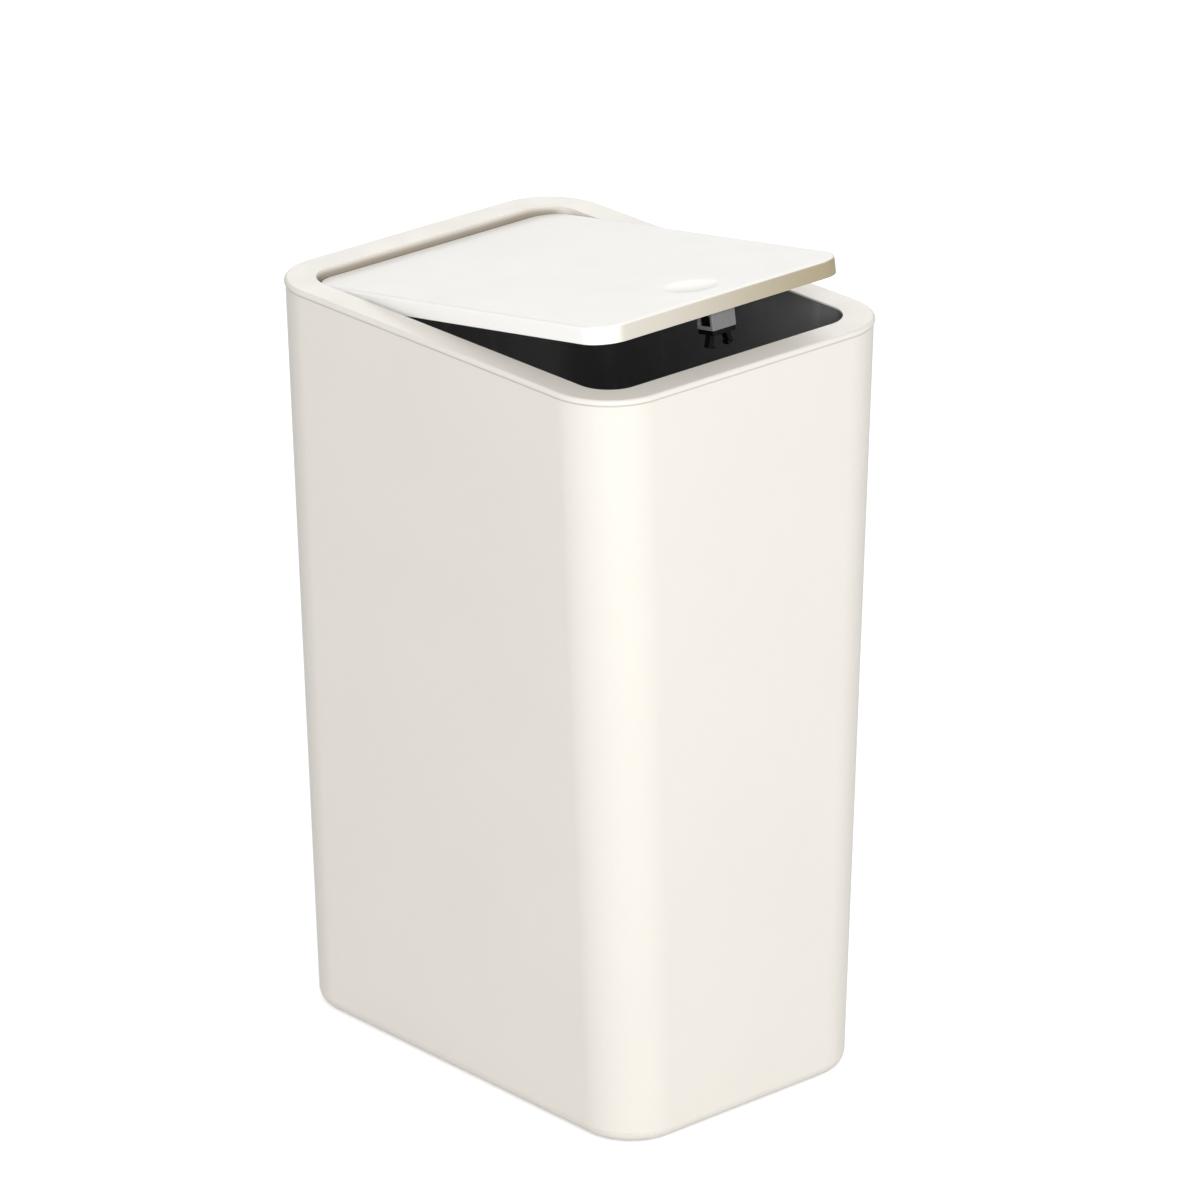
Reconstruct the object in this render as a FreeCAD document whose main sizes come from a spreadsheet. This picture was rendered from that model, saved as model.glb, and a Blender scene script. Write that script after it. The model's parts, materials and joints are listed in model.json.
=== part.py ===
import FreeCAD, Part
import math
import os

import Sketcher
from FreeCAD import Placement, Rotation, Vector

# Push-button waste bin, in millimetres.
# +Z is up, the front faces -Y, and the origin is the centre of the footprint on the floor.
# The lid group is drawn shut and then turned about its hinge to the popped-up rest position.

SIZES = {
    # Outer shell
    "bin_height": 350.0,
    "shell_top_width": 172.0,
    "shell_top_depth": 226.0,
    "shell_top_corner": 29.0,
    "shell_side_taper": 14.0,
    "shell_end_taper": 1.0,
    "shell_base_corner": 26.0,
    "shell_wall": 2.2,
    "shell_floor": 3.2,
    "base_edge_round": 6.0,
    "seam_round": 0.5,
    # Rubber pads under the base
    "pad_radius": 8.0,
    "pad_thickness": 2.0,
    "pad_stand": 0.8,
    "pad_inset": 26.0,
    # Rim frame that lifts off the shell
    "rim_width": 13.5,
    "rim_thickness": 2.2,
    "rim_overhang": 0.6,
    "rim_edge_round": 1.6,
    "opening_corner": 15.5,
    "opening_lip": 0.8,
    "opening_lip_width": 3.0,
    "skirt_depth": 18.0,
    "skirt_wall": 1.8,
    "skirt_clearance": 1.3,
    # Hinge cradle, the deep wall of the rim frame behind the lid
    "cradle_wall": 2.4,
    "cradle_depth": 26.0,
    "cradle_reach": 17.0,
    "boss_radius": 3.6,
    "boss_length": 6.5,
    "ledge_length": 15.5,
    "ledge_depth": 6.0,
    "ledge_thickness": 3.0,
    "ledge_drop": 9.6,
    "ledge_setback": 5.5,
    # Striker tongue, the drop wall of the rim frame at the front
    "tongue_width": 18.0,
    "tongue_wall": 2.4,
    "tongue_rib": 1.8,
    "tongue_gap": 0.7,
    "tongue_depth": 36.0,
    # Inner bucket
    "bucket_wall": 1.8,
    "bucket_floor": 2.0,
    "bucket_side_gap": 2.8,
    "bucket_end_gap": 10.8,
    "bucket_base_corner": 20.0,
    "bucket_edge_gap": 0.4,
    "bucket_top_gap": 0.3,
    "bucket_base_round": 7.0,
    "bucket_lip_width": 5.0,
    "bucket_lip_thickness": 1.7,
    "bucket_lip_gap": 0.6,
    "notch_gap": 0.8,
    "front_notch_gap": 2.5,
    # Lid
    "lid_gap": 1.8,
    "lid_thickness": 8.0,
    "lid_wall": 2.0,
    "lid_edge_round": 1.5,
    "dish_radius": 12.0,
    "dish_depth": 0.9,
    "dish_setback": 22.0,
    "liner_thickness": 1.6,
    "liner_gap": 0.3,
    "lid_boss_radius": 3.0,
    "lid_screw_inset": 15.0,
    "lid_screw_rear": 46.0,
    # Hinge
    "popped_angle": 9.2,
    "hinge_setback": 23.7,
    "hinge_drop": 5.0,
    "hinge_pin_radius": 1.5,
    "hinge_pin_length": 24.6,
    "hinge_pin_fit": 0.02,
    "hinge_running_gap": 0.05,
    "ear_width": 8.0,
    "ear_thickness": 3.0,
    "ear_drop": 4.0,
    "ear_inset": 13.7,
    "hinge_bay": 13.0,
    # Torsion springs round the hinge pins
    "torsion_wire": 0.8,
    "torsion_coil_radius": 2.3,
    "torsion_pitch": 1.3,
    "torsion_moving_leg": 9.0,
    "torsion_fixed_leg": 11.5,
    "torsion_fixed_angle": 40.0,
    "torsion_inset": 4.4,
    # Push latch under the lid's front edge
    "latch_setback": 3.0,
    "housing_width": 13.6,
    "housing_depth": 10.6,
    "housing_wall": 0.9,
    "housing_roof": 1.2,
    "housing_below": 8.5,
    "housing_above": 5.5,
    "window_width": 7.4,
    "window_sill": 1.7,
    "window_height": 4.7,
    "flange_reach": 8.4,
    "flange_thickness": 1.6,
    "flange_setback": 2.5,
    "mouth_inset": 0.2,
    "latch_screw_reach": 4.6,
    "slider_gap": 0.3,
    "slider_shoulder": 0.7,
    "slider_plate": 1.8,
    "slider_height": 9.8,
    "slider_show": 2.1,
    "slider_slot": 4.0,
    "slider_slot_height": 5.0,
    "jaw_pin_height": 3.1,
    "jaw_pin_reach": 3.0,
    "jaw_pin_radius": 0.6,
    "jaw_barrel_radius": 1.4,
    "jaw_side_gap": 0.2,
    "jaw_thickness": 2.2,
    "jaw_hook_depth": 8.0,
    "jaw_hook_height": 1.5,
    "jaw_hook_reach": 0.9,
    "jaw_spread": 18.0,
    "latch_travel": 4.0,
    "latch_wire": 0.5,
    "latch_coil_radius": 1.75,
    "latch_coil_turns": 7.0,
    "latch_bore_radius": 2.3,
    "latch_bore_depth": 4.0,
    "spring_end_gap": 0.15,
    "cam_wire_radius": 0.35,
    "cam_groove_depth": 0.9,
    "cam_groove_width": 1.2,
    "cam_tip_drop": 0.3,
    "cam_top_gap": 0.1,
    # Striker that the jaws grip
    "striker_plate": 1.5,
    "striker_plate_height": 12.0,
    "striker_plate_inset": 1.2,
    "striker_arm_width": 6.0,
    "striker_arm_height": 3.5,
    "neck_radius": 0.7,
    "neck_height": 6.2,
    "head_radius": 1.6,
    "head_height": 1.2,
    "head_clearance": 0.3,
    "striker_screw_reach": 5.3,
    # Screws
    "screw_head_radius": 2.2,
    "screw_head_height": 1.1,
    "screw_shank_radius": 1.1,
    "screw_length": 4.8,
    "screw_recess": 0.6,
    "screw_recess_width": 0.6,
    "small_screw_head_radius": 1.6,
    "small_screw_head_height": 0.8,
    "small_screw_shank_radius": 0.8,
    "small_screw_length": 4.6,
    "hole_clearance": 0.05,
    # Overrun of cutting tools past the faces that they cut
    "overrun": 5.0,
}

# Steps in which the round lower edge of a tub is drawn
ROUND_STEPS = 6
# Reach of a screw's cross recess as a share of the shank's radius
RECESS_SHARE = 1.1
# Whole turns of a torsion spring, and the points per turn that a coil's arcs join
TORSION_TURNS = 5
POINTS_PER_TURN = 4

doc = FreeCAD.newDocument("push_button_bin")
sheet = doc.addObject("Spreadsheet::Sheet", "sizes")
for row, (alias, value) in enumerate(SIZES.items(), 1):
    sheet.set(f"A{row}", alias)
    sheet.set(f"B{row}", str(value))
    sheet.setAlias(f"B{row}", alias)
doc.recompute()


class Size:
    """A size worked out from the sheet: its number now, and the expression that keeps it bound."""

    def __init__(self, number, text):
        self.number = number
        self.text = text

    def __add__(self, other):
        other = as_size(other)
        return Size(self.number + other.number, f"({self.text} + {other.text})")

    def __sub__(self, other):
        other = as_size(other)
        return Size(self.number - other.number, f"({self.text} - {other.text})")

    def __mul__(self, other):
        other = as_size(other)
        return Size(self.number * other.number, f"({self.text} * {other.text})")

    def __truediv__(self, other):
        other = as_size(other)
        return Size(self.number / other.number, f"({self.text} / {other.text})")

    def __neg__(self):
        return Size(-self.number, f"(0 - {self.text})")


def as_size(value):
    """A bare number, such as 2 or 0, as a Size."""
    return value if isinstance(value, Size) else Size(float(value), repr(float(value)))


class Sheet:
    """Reads the sheet's aliases as Size objects: sizes.rim_width and so on."""

    def __getattr__(self, alias):
        return Size(float(sheet.get(alias)), f"sizes.{alias}")


sizes = Sheet()
ZERO = as_size(0)


def bind(item, path, size):
    """Binds one property of an object to a size."""
    item.setExpression(path, as_size(size).text)


def vector(x, y, z):
    """A Vector from three sizes."""
    return Vector(as_size(x).number, as_size(y).number, as_size(z).number)


# Places that several pieces share
rim_top = sizes.bin_height
seat_z = rim_top - sizes.rim_thickness
shell_bottom = sizes.pad_stand
floor_z = shell_bottom + sizes.shell_floor
base_x = sizes.shell_top_width / 2 - sizes.shell_side_taper
base_y = sizes.shell_top_depth / 2 - sizes.shell_end_taper
opening_x = sizes.shell_top_width / 2 - sizes.rim_width
opening_y = sizes.shell_top_depth / 2 - sizes.rim_width
lid_x = opening_x - sizes.lid_gap
lid_y = opening_y - sizes.lid_gap
lid_corner = sizes.opening_corner - sizes.lid_gap
lid_under = rim_top - sizes.lid_thickness
cover_under = rim_top - sizes.lid_wall
hinge_y = lid_y - sizes.hinge_setback
hinge_z = rim_top - sizes.hinge_drop
latch_y = -(lid_y - sizes.latch_setback - sizes.housing_depth / 2)
housing_bottom = lid_under - sizes.housing_below
housing_top = lid_under + sizes.housing_above
slider_bottom = housing_bottom - sizes.slider_show
slider_top = slider_bottom + sizes.slider_height
jaw_pin_z = slider_bottom + sizes.jaw_pin_height
cam_top = slider_top + sizes.latch_travel + sizes.cam_top_gap
cradle_y = hinge_y - sizes.cradle_reach
cradle_bottom = rim_top - sizes.cradle_depth
tongue_bottom = rim_top - sizes.tongue_depth
tongue_face_y = -(opening_y + sizes.tongue_gap)


class Profile:
    """A fully constrained sketch on one of a body's origin planes, lifted off it by an offset."""

    def __init__(self, body, role, offset=ZERO):
        self.sketch = body.newObject("Sketcher::SketchObject", f"{body.Name}_profile")
        plane = next(item for item in body.Origin.OriginFeatures if item.Role == role)
        self.sketch.AttachmentSupport = [(plane, "")]
        self.sketch.MapMode = "FlatFace"
        bind(self.sketch, "AttachmentOffset.Base.z", offset)

    def constrain(self, *terms):
        return self.sketch.addConstraint(Sketcher.Constraint(*terms))

    def place(self, shape, point, axis, where):
        """Holds one coordinate of a point of the sketch at a size."""
        if where.number == 0:
            self.constrain("PointOnObject", shape, point, -2 if axis == "X" else -1)
            return
        ends = (-1, 1, shape, point) if where.number > 0 else (shape, point, -1, 1)
        distance = where if where.number > 0 else -where
        index = self.constrain(f"Distance{axis}", *ends, distance.number)
        bind(self.sketch, f"Constraints[{index}]", distance)

    def circle(self, x, y, radius):
        x, y = as_size(x), as_size(y)
        centre = Vector(x.number, y.number, 0)
        shape = self.sketch.addGeometry(Part.Circle(centre, Vector(0, 0, 1), radius.number), False)
        self.place(shape, 3, "X", x)
        self.place(shape, 3, "Y", y)
        bind(self.sketch, f"Constraints[{self.constrain('Radius', shape, radius.number)}]", radius)
        return self

    def outline(self, *corners):
        """A closed outline of level and upright lines. A corner is (x, y) or (x, y, radius)."""
        places = [(as_size(corner[0]), as_size(corner[1])) for corner in corners]
        points = [Vector(x.number, y.number, 0) for x, y in places]
        count = len(corners)
        starts, ends, arcs = [], [], []
        for index, corner in enumerate(corners):
            arriving = (points[index] - points[index - 1]).normalize()
            leaving = (points[(index + 1) % count] - points[index]).normalize()
            if len(corner) == 2:
                ends.append(points[index])
                starts.append(points[index])
                arcs.append(None)
                continue
            reach = corner[2].number
            first = points[index] - arriving * reach
            last = points[index] + leaving * reach
            centre = first + leaving * reach
            turns_left = arriving.cross(leaving).z > 0
            one, two = (first, last) if turns_left else (last, first)
            angles = [math.atan2(point.y - centre.y, point.x - centre.x) for point in (one, two)]
            if angles[1] < angles[0]:
                angles[1] += 2 * math.pi
            ring = Part.Circle(centre, Vector(0, 0, 1), reach)
            shape = self.sketch.addGeometry(Part.ArcOfCircle(ring, *angles), False)
            ends.append(first)
            starts.append(last)
            arcs.append((shape, (1, 2) if turns_left else (2, 1), corner[2]))
        lines = []
        for index in range(count):
            line = Part.LineSegment(starts[index], ends[(index + 1) % count])
            lines.append(self.sketch.addGeometry(line, False))
        for index in range(count):
            before, after = lines[index - 1], lines[index]
            if arcs[index]:
                shape, (near, far), radius = arcs[index]
                self.constrain("Tangent", before, 2, shape, near)
                self.constrain("Tangent", shape, far, after, 1)
                held = self.constrain("Radius", shape, radius.number)
                bind(self.sketch, f"Constraints[{held}]", radius)
            else:
                self.constrain("Coincident", before, 2, after, 1)
        for index in range(count):
            span = points[(index + 1) % count] - points[index]
            if abs(span.x) < abs(span.y):
                self.constrain("Vertical", lines[index])
                self.place(lines[index], 1, "X", places[index][0])
            else:
                self.constrain("Horizontal", lines[index])
                self.place(lines[index], 1, "Y", places[index][1])
        return self

    def rectangle(self, low_x, high_x, low_y, high_y):
        return self.outline((low_x, low_y), (high_x, low_y), (high_x, high_y), (low_x, high_y))

    def rounded(self, half_x, half_y, radius):
        """A rectangle about the origin with four round corners."""
        signs = ((-1, -1), (1, -1), (1, 1), (-1, 1))
        return self.outline(*[(half_x * one, half_y * two, radius) for one, two in signs])


def new_body(name):
    return doc.addObject("PartDesign::Body", name)


def pad(body, profile, length):
    """Adds material from the profile along its plane's normal."""
    feature = body.newObject("PartDesign::Pad", "pad")
    feature.Profile = profile.sketch
    bind(feature, "Length", length)
    doc.recompute()
    return feature


def pocket(body, profile, depth, forward=False):
    """Cuts from the profile against its plane's normal, or along it where forward is True."""
    before = body.Shape.Volume
    feature = body.newObject("PartDesign::Pocket", "pocket")
    feature.Profile = profile.sketch
    feature.Reversed = forward
    bind(feature, "Length", depth)
    doc.recompute()
    if body.Shape.Volume >= before:
        raise RuntimeError(f"A pocket of {body.Name} cuts nothing")
    return feature


def loft(body, *profiles, cut=False):
    """Adds or cuts the straight loft through profiles of equal corners."""
    kind = "PartDesign::SubtractiveLoft" if cut else "PartDesign::AdditiveLoft"
    before = body.Shape.Volume if cut else 0
    feature = body.newObject(kind, "loft")
    feature.Profile = profiles[0].sketch
    feature.Sections = [profile.sketch for profile in profiles[1:]]
    feature.Ruled = True
    doc.recompute()
    if cut and not 0 < body.Shape.Volume < before:
        raise RuntimeError(f"A loft of {body.Name} cuts wrongly")
    return feature


def tub(body, low, high, base, top, edge_round, cut=False, seam=None):
    """A tapering tub shape between two heights, round at its lower edge.

    Base and top are (half width, half depth, corner radius).
    """
    profiles = []
    for step in range(ROUND_STEPS):
        angle = math.pi / 2 * step / ROUND_STEPS
        inset = edge_round * (1 - math.sin(angle))
        profile = Profile(body, "XY_Plane", low + edge_round * (1 - math.cos(angle)))
        profiles.append(profile.rounded(*[side - inset for side in base]))
    share = edge_round / (high - low)
    sides = [one + (two - one) * share for one, two in zip(base, top)]
    profiles.append(Profile(body, "XY_Plane", low + edge_round).rounded(*sides))
    if seam is None:
        profiles.append(Profile(body, "XY_Plane", high).rounded(*top))
    else:
        profiles.append(Profile(body, "XY_Plane", high - seam).rounded(*top))
        profiles.append(Profile(body, "XY_Plane", high).rounded(*[side - seam for side in top]))
    return loft(body, *profiles, cut=cut)


def level_edges(body, height, wanted):
    """Names of the level edges at a height whose middle passes the test."""
    names = []
    for index, edge in enumerate(body.Shape.Edges, 1):
        box = edge.BoundBox
        middle = edge.valueAt((edge.FirstParameter + edge.LastParameter) / 2)
        if max(abs(box.ZMin - height.number), abs(box.ZMax - height.number)) < 1e-4 and wanted(middle):
            names.append(f"Edge{index}")
    return names


def fillet(body, radius, edges):
    base = body.Tip
    feature = body.newObject("PartDesign::Fillet", "fillet")
    feature.Base = (base, edges)
    bind(feature, "Radius", radius)
    doc.recompute()
    if "Invalid" in feature.State:
        raise RuntimeError(f"A fillet of {body.Name} fails on {edges}")
    return feature


def outside(half_x, half_y):
    """A test for points on or beyond the outline of a rectangle about the origin."""
    return lambda point: abs(point.x) > half_x.number or abs(point.y) > half_y.number


def block(name, low, high):
    """A Part box between two corners given as sizes."""
    item = doc.addObject("Part::Box", name)
    for side, axis, one, two in zip(("Length", "Width", "Height"), "xyz", low, high):
        one, two = as_size(one), as_size(two)
        bind(item, side, two - one)
        bind(item, f"Placement.Base.{axis}", one)
    return item


TURNS = {"X": Rotation(Vector(0, 1, 0), 90), "Y": Rotation(Vector(1, 0, 0), -90), "Z": Rotation()}


def rod(name, axis, start, radius, length):
    """A Part cylinder that starts at a point and runs along +X, +Y or +Z."""
    item = doc.addObject("Part::Cylinder", name)
    bind(item, "Radius", radius)
    bind(item, "Height", length)
    item.Placement = Placement(vector(*start), TURNS[axis])
    for letter, place in zip("xyz", start):
        bind(item, f"Placement.Base.{letter}", place)
    return item


def fuse(name, *items):
    item = doc.addObject("Part::MultiFuse", name)
    item.Shapes = list(items)
    item.Refine = True
    return item


def cut(name, base, *tools):
    item = doc.addObject("Part::Cut", name)
    item.Base = base
    item.Tool = tools[0] if len(tools) == 1 else fuse(f"{name}_tools", *tools)
    return item


def group(name, *items):
    item = doc.addObject("Part::Compound", name)
    item.Links = list(items)
    return item


# Places of the popped lid group
POPPED = Placement(Vector(), Rotation(Vector(-1, 0, 0), sizes.popped_angle.number), vector(0, hinge_y, hinge_z))


def popped(item):
    """Turns a piece drawn on the shut lid to the popped-up rest position."""
    item.Placement = POPPED * item.Placement
    return item


def outer_shell():
    """The tapering outer casing with its closed floor and pad recesses."""
    body = new_body("outer_shell")
    top = (sizes.shell_top_width / 2, sizes.shell_top_depth / 2, sizes.shell_top_corner)
    base = (base_x, base_y, sizes.shell_base_corner)
    wall = sizes.shell_wall
    tub(body, shell_bottom, seat_z, base, top, sizes.base_edge_round, seam=sizes.seam_round)
    inner_base = [side - wall for side in base]
    inner_top = [side - wall for side in top]
    tub(body, floor_z, seat_z, inner_base, inner_top, sizes.base_edge_round - wall, cut=True)
    recess = Profile(body, "XY_Plane", sizes.pad_thickness)
    for x, y in pad_places():
        recess.circle(x, y, sizes.pad_radius)
    pocket(body, recess, sizes.pad_thickness)
    return body


def pad_places():
    """Centres of the four pads under the base."""
    x = base_x - sizes.pad_inset
    y = base_y - sizes.pad_inset
    return [(x * one, y * two) for one in (-1, 1) for two in (-1, 1)]


def foot_pads():
    """Four rubber pads in the recesses of the base."""
    pads = [rod("foot_pad", "Z", (x, y, 0), sizes.pad_radius - sizes.hole_clearance, sizes.pad_thickness)
            for x, y in pad_places()]
    return group("foot_pads", *pads)


def inner_bucket():
    """The dark inner bucket that stands on the shell's floor and ends under the rim's lip."""
    body = new_body("inner_bucket")
    wall = sizes.bucket_wall
    mouth_x = opening_x + sizes.bucket_edge_gap
    mouth_y = opening_y + sizes.bucket_edge_gap
    mouth_corner = sizes.opening_corner + sizes.bucket_edge_gap
    top_z = rim_top - sizes.opening_lip - sizes.bucket_top_gap
    mouth = (mouth_x, mouth_y, mouth_corner)
    top = [side + wall for side in mouth]
    half_x = base_x - sizes.shell_wall - sizes.bucket_side_gap
    half_y = base_y - sizes.shell_wall - sizes.bucket_end_gap
    base = (half_x, half_y, sizes.bucket_base_corner)
    tub(body, floor_z, top_z, base, top, sizes.bucket_base_round)
    lip_top = seat_z - sizes.bucket_lip_gap
    lip = Profile(body, "XY_Plane", lip_top - sizes.bucket_lip_thickness)
    reach = wall + sizes.bucket_lip_width
    lip.rounded(mouth_x + reach, mouth_y + reach, mouth_corner + reach)
    pad(body, lip, sizes.bucket_lip_thickness)
    inner_base = [side - wall for side in base]
    tub(body, floor_z + sizes.bucket_floor, top_z, inner_base, mouth, sizes.bucket_base_round - wall, cut=True)
    far_x = sizes.shell_top_width / 2
    far_y = sizes.shell_top_depth / 2
    notch_bottom = cradle_bottom - sizes.notch_gap * 2
    notch = Profile(body, "XY_Plane", rim_top)
    notch.rectangle(-far_x, far_x, cradle_y - sizes.notch_gap, far_y)
    pocket(body, notch, rim_top - notch_bottom)
    notch = Profile(body, "XY_Plane", rim_top)
    half = sizes.tongue_width / 2 + sizes.front_notch_gap
    notch.rectangle(-half, half, -far_y, -(mouth_y / 2))
    pocket(body, notch, rim_top - tongue_bottom + sizes.front_notch_gap)
    return body


def rim_frame():
    """The pale frame: top plate, locating skirt, hinge cradle at the back and tongue at the front."""
    body = new_body("rim_frame")
    outer_x = sizes.shell_top_width / 2 + sizes.rim_overhang
    outer_y = sizes.shell_top_depth / 2 + sizes.rim_overhang
    outer_corner = sizes.shell_top_corner + sizes.rim_overhang
    plate = Profile(body, "XY_Plane", seat_z).rounded(outer_x, outer_y, outer_corner)
    plate.rounded(opening_x, opening_y, sizes.opening_corner)
    pad(body, plate, sizes.rim_thickness)
    outer_edge = outside(opening_x + sizes.opening_lip, opening_y + sizes.opening_lip)
    fillet(body, sizes.rim_edge_round, level_edges(body, rim_top, outer_edge))
    rebate = Profile(body, "XY_Plane", seat_z)
    rebate.rounded(opening_x + sizes.opening_lip_width, opening_y + sizes.opening_lip_width,
                   sizes.opening_corner + sizes.opening_lip_width)
    rebate.rounded(opening_x - sizes.lid_gap, opening_y - sizes.lid_gap, lid_corner)
    pocket(body, rebate, sizes.rim_thickness - sizes.opening_lip, forward=True)
    skirt_x = sizes.shell_top_width / 2 - sizes.shell_wall - sizes.skirt_clearance
    skirt_y = sizes.shell_top_depth / 2 - sizes.shell_wall - sizes.skirt_clearance
    skirt_corner = sizes.shell_top_corner - sizes.shell_wall - sizes.skirt_clearance
    wall = sizes.skirt_wall
    skirt = Profile(body, "XY_Plane", seat_z - sizes.skirt_depth).rounded(skirt_x, skirt_y, skirt_corner)
    skirt.rounded(skirt_x - wall, skirt_y - wall, skirt_corner - wall)
    pad(body, skirt, sizes.skirt_depth)
    wall = sizes.cradle_wall
    out_x, out_y = opening_x + wall, opening_y + wall
    inner, outer = sizes.opening_corner, sizes.opening_corner + wall
    cradle = Profile(body, "XY_Plane", cradle_bottom).outline(
        (-out_x, cradle_y), (-opening_x, cradle_y), (-opening_x, opening_y, inner),
        (opening_x, opening_y, inner), (opening_x, cradle_y), (out_x, cradle_y),
        (out_x, out_y, outer), (-out_x, out_y, outer))
    pad(body, cradle, sizes.cradle_depth - sizes.opening_lip)
    half, rib = sizes.tongue_width / 2, sizes.tongue_rib
    face, back = tongue_face_y, tongue_face_y - sizes.tongue_wall
    root = -(skirt_y - sizes.skirt_wall / 2)
    tongue = Profile(body, "XY_Plane", tongue_bottom).outline(
        (-half, root), (rib - half, root), (rib - half, back), (half - rib, back),
        (half - rib, root), (half, root), (half, face), (-half, face))
    pad(body, tongue, sizes.tongue_depth - sizes.rim_thickness)
    holes = Profile(body, "XZ_Plane", -tongue_face_y)
    for x in (-sizes.striker_screw_reach, sizes.striker_screw_reach):
        holes.circle(x, striker_screw_z(), sizes.small_screw_shank_radius + sizes.hole_clearance)
    pocket(body, holes, sizes.tongue_wall, forward=True)
    for side in (-1, 1):
        hinge_side(body, side)
    return body


def hinge_side(body, side):
    """The pin boss and the spring ledge on one side of the cradle."""
    start = opening_x if side > 0 else -(opening_x + sizes.boss_length)
    boss = Profile(body, "YZ_Plane", start).circle(hinge_y, hinge_z, sizes.boss_radius)
    pad(body, boss, sizes.boss_length)
    start = opening_x - sizes.ledge_length if side > 0 else -(opening_x + sizes.cradle_wall / 2)
    top = hinge_z - sizes.ledge_drop
    front = hinge_y - sizes.ledge_setback - sizes.ledge_depth
    ledge = Profile(body, "YZ_Plane", start)
    ledge.rectangle(front, front + sizes.ledge_depth, top - sizes.ledge_thickness, top)
    pad(body, ledge, sizes.ledge_length + sizes.cradle_wall / 2)
    start = opening_x if side > 0 else -(opening_x + sizes.boss_length)
    bore = Profile(body, "YZ_Plane", start)
    bore.circle(hinge_y, hinge_z, sizes.hinge_pin_radius + sizes.hinge_pin_fit)
    pocket(body, bore, sizes.boss_length, forward=True)


def hinge_pin(name, side):
    """One steel dowel, fixed in the cradle boss, on which the lid turns."""
    outer = opening_x + sizes.boss_length
    start = outer - sizes.hinge_pin_length if side > 0 else -outer
    return rod(name, "X", (start, hinge_y, hinge_z), sizes.hinge_pin_radius, sizes.hinge_pin_length)


def lid_cover():
    """The pale lid cover: a shallow tray, open below, with the press dish and hinge ears."""
    body = new_body("lid_cover")
    wall = sizes.lid_wall
    outline = Profile(body, "XY_Plane", lid_under).rounded(lid_x, lid_y, lid_corner)
    pad(body, outline, sizes.lid_thickness)
    fillet(body, sizes.lid_edge_round, level_edges(body, rim_top, lambda point: True))
    hollow = Profile(body, "XY_Plane", cover_under).rounded(lid_x - wall, lid_y - wall, lid_corner - wall)
    pocket(body, hollow, sizes.lid_thickness - wall)
    dish(body)
    boss_bottom = lid_under + sizes.liner_thickness
    for x, y in lid_screw_places():
        boss = Profile(body, "XY_Plane", boss_bottom).circle(x, y, sizes.lid_boss_radius)
        pad(body, boss, cover_under - boss_bottom)
    for x, y in latch_screw_places():
        boss = Profile(body, "XY_Plane", boss_bottom).circle(x, y, sizes.lid_boss_radius)
        pad(body, boss, cover_under - boss_bottom)
    for side in (-1, 1):
        ear_outer = lid_x - sizes.ear_inset
        start = ear_outer - sizes.ear_thickness if side > 0 else -ear_outer
        ear = Profile(body, "YZ_Plane", start)
        half = sizes.ear_width / 2
        ear.rectangle(hinge_y - half, hinge_y + half, hinge_z - sizes.ear_drop, cover_under)
        pad(body, ear, sizes.ear_thickness)
        start = ear_outer - sizes.ear_thickness if side > 0 else -lid_x
        bore = Profile(body, "YZ_Plane", start)
        bore.circle(hinge_y, hinge_z, sizes.hinge_pin_radius + sizes.hinge_running_gap)
        pocket(body, bore, sizes.ear_inset + sizes.ear_thickness, forward=True)
    shank = sizes.screw_shank_radius + sizes.hole_clearance
    small = sizes.small_screw_shank_radius + sizes.hole_clearance
    pilots = Profile(body, "XY_Plane", lid_under + sizes.screw_length)
    for x, y in lid_screw_places():
        pilots.circle(x, y, shank)
    pocket(body, pilots, sizes.screw_length - sizes.liner_thickness)
    pilots = Profile(body, "XY_Plane", lid_under - sizes.flange_thickness + sizes.small_screw_length)
    for x, y in latch_screw_places():
        pilots.circle(x, y, small)
    pocket(body, pilots, sizes.small_screw_length - sizes.flange_thickness - sizes.liner_thickness)
    return popped(body)


def dish(body):
    """The shallow round dish, on the lid's centre line near the front, that a finger presses."""
    before = body.Shape.Volume
    radius, depth = sizes.dish_radius, sizes.dish_depth
    ball = (radius * radius + depth * depth) / (depth * 2)
    feature = body.newObject("PartDesign::SubtractiveSphere", "press_dish")
    bind(feature, "Radius", ball)
    bind(feature, "Placement.Base.y", sizes.dish_setback - lid_y)
    bind(feature, "Placement.Base.z", rim_top + ball - depth)
    doc.recompute()
    if body.Shape.Volume >= before:
        raise RuntimeError("The press dish cuts nothing")


def lid_screw_places():
    """Centres of the four screws that hold the liner to the cover."""
    x = lid_x - sizes.lid_screw_inset
    front = sizes.lid_screw_inset - lid_y
    rear = lid_y - sizes.lid_screw_rear
    return [(x * side, y) for side in (-1, 1) for y in (front, rear)]


def latch_screw_places():
    """Centres of the two screws that hold the latch housing."""
    x = sizes.housing_width / 2 + sizes.latch_screw_reach
    return [(-x, latch_y), (x, latch_y)]


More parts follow.
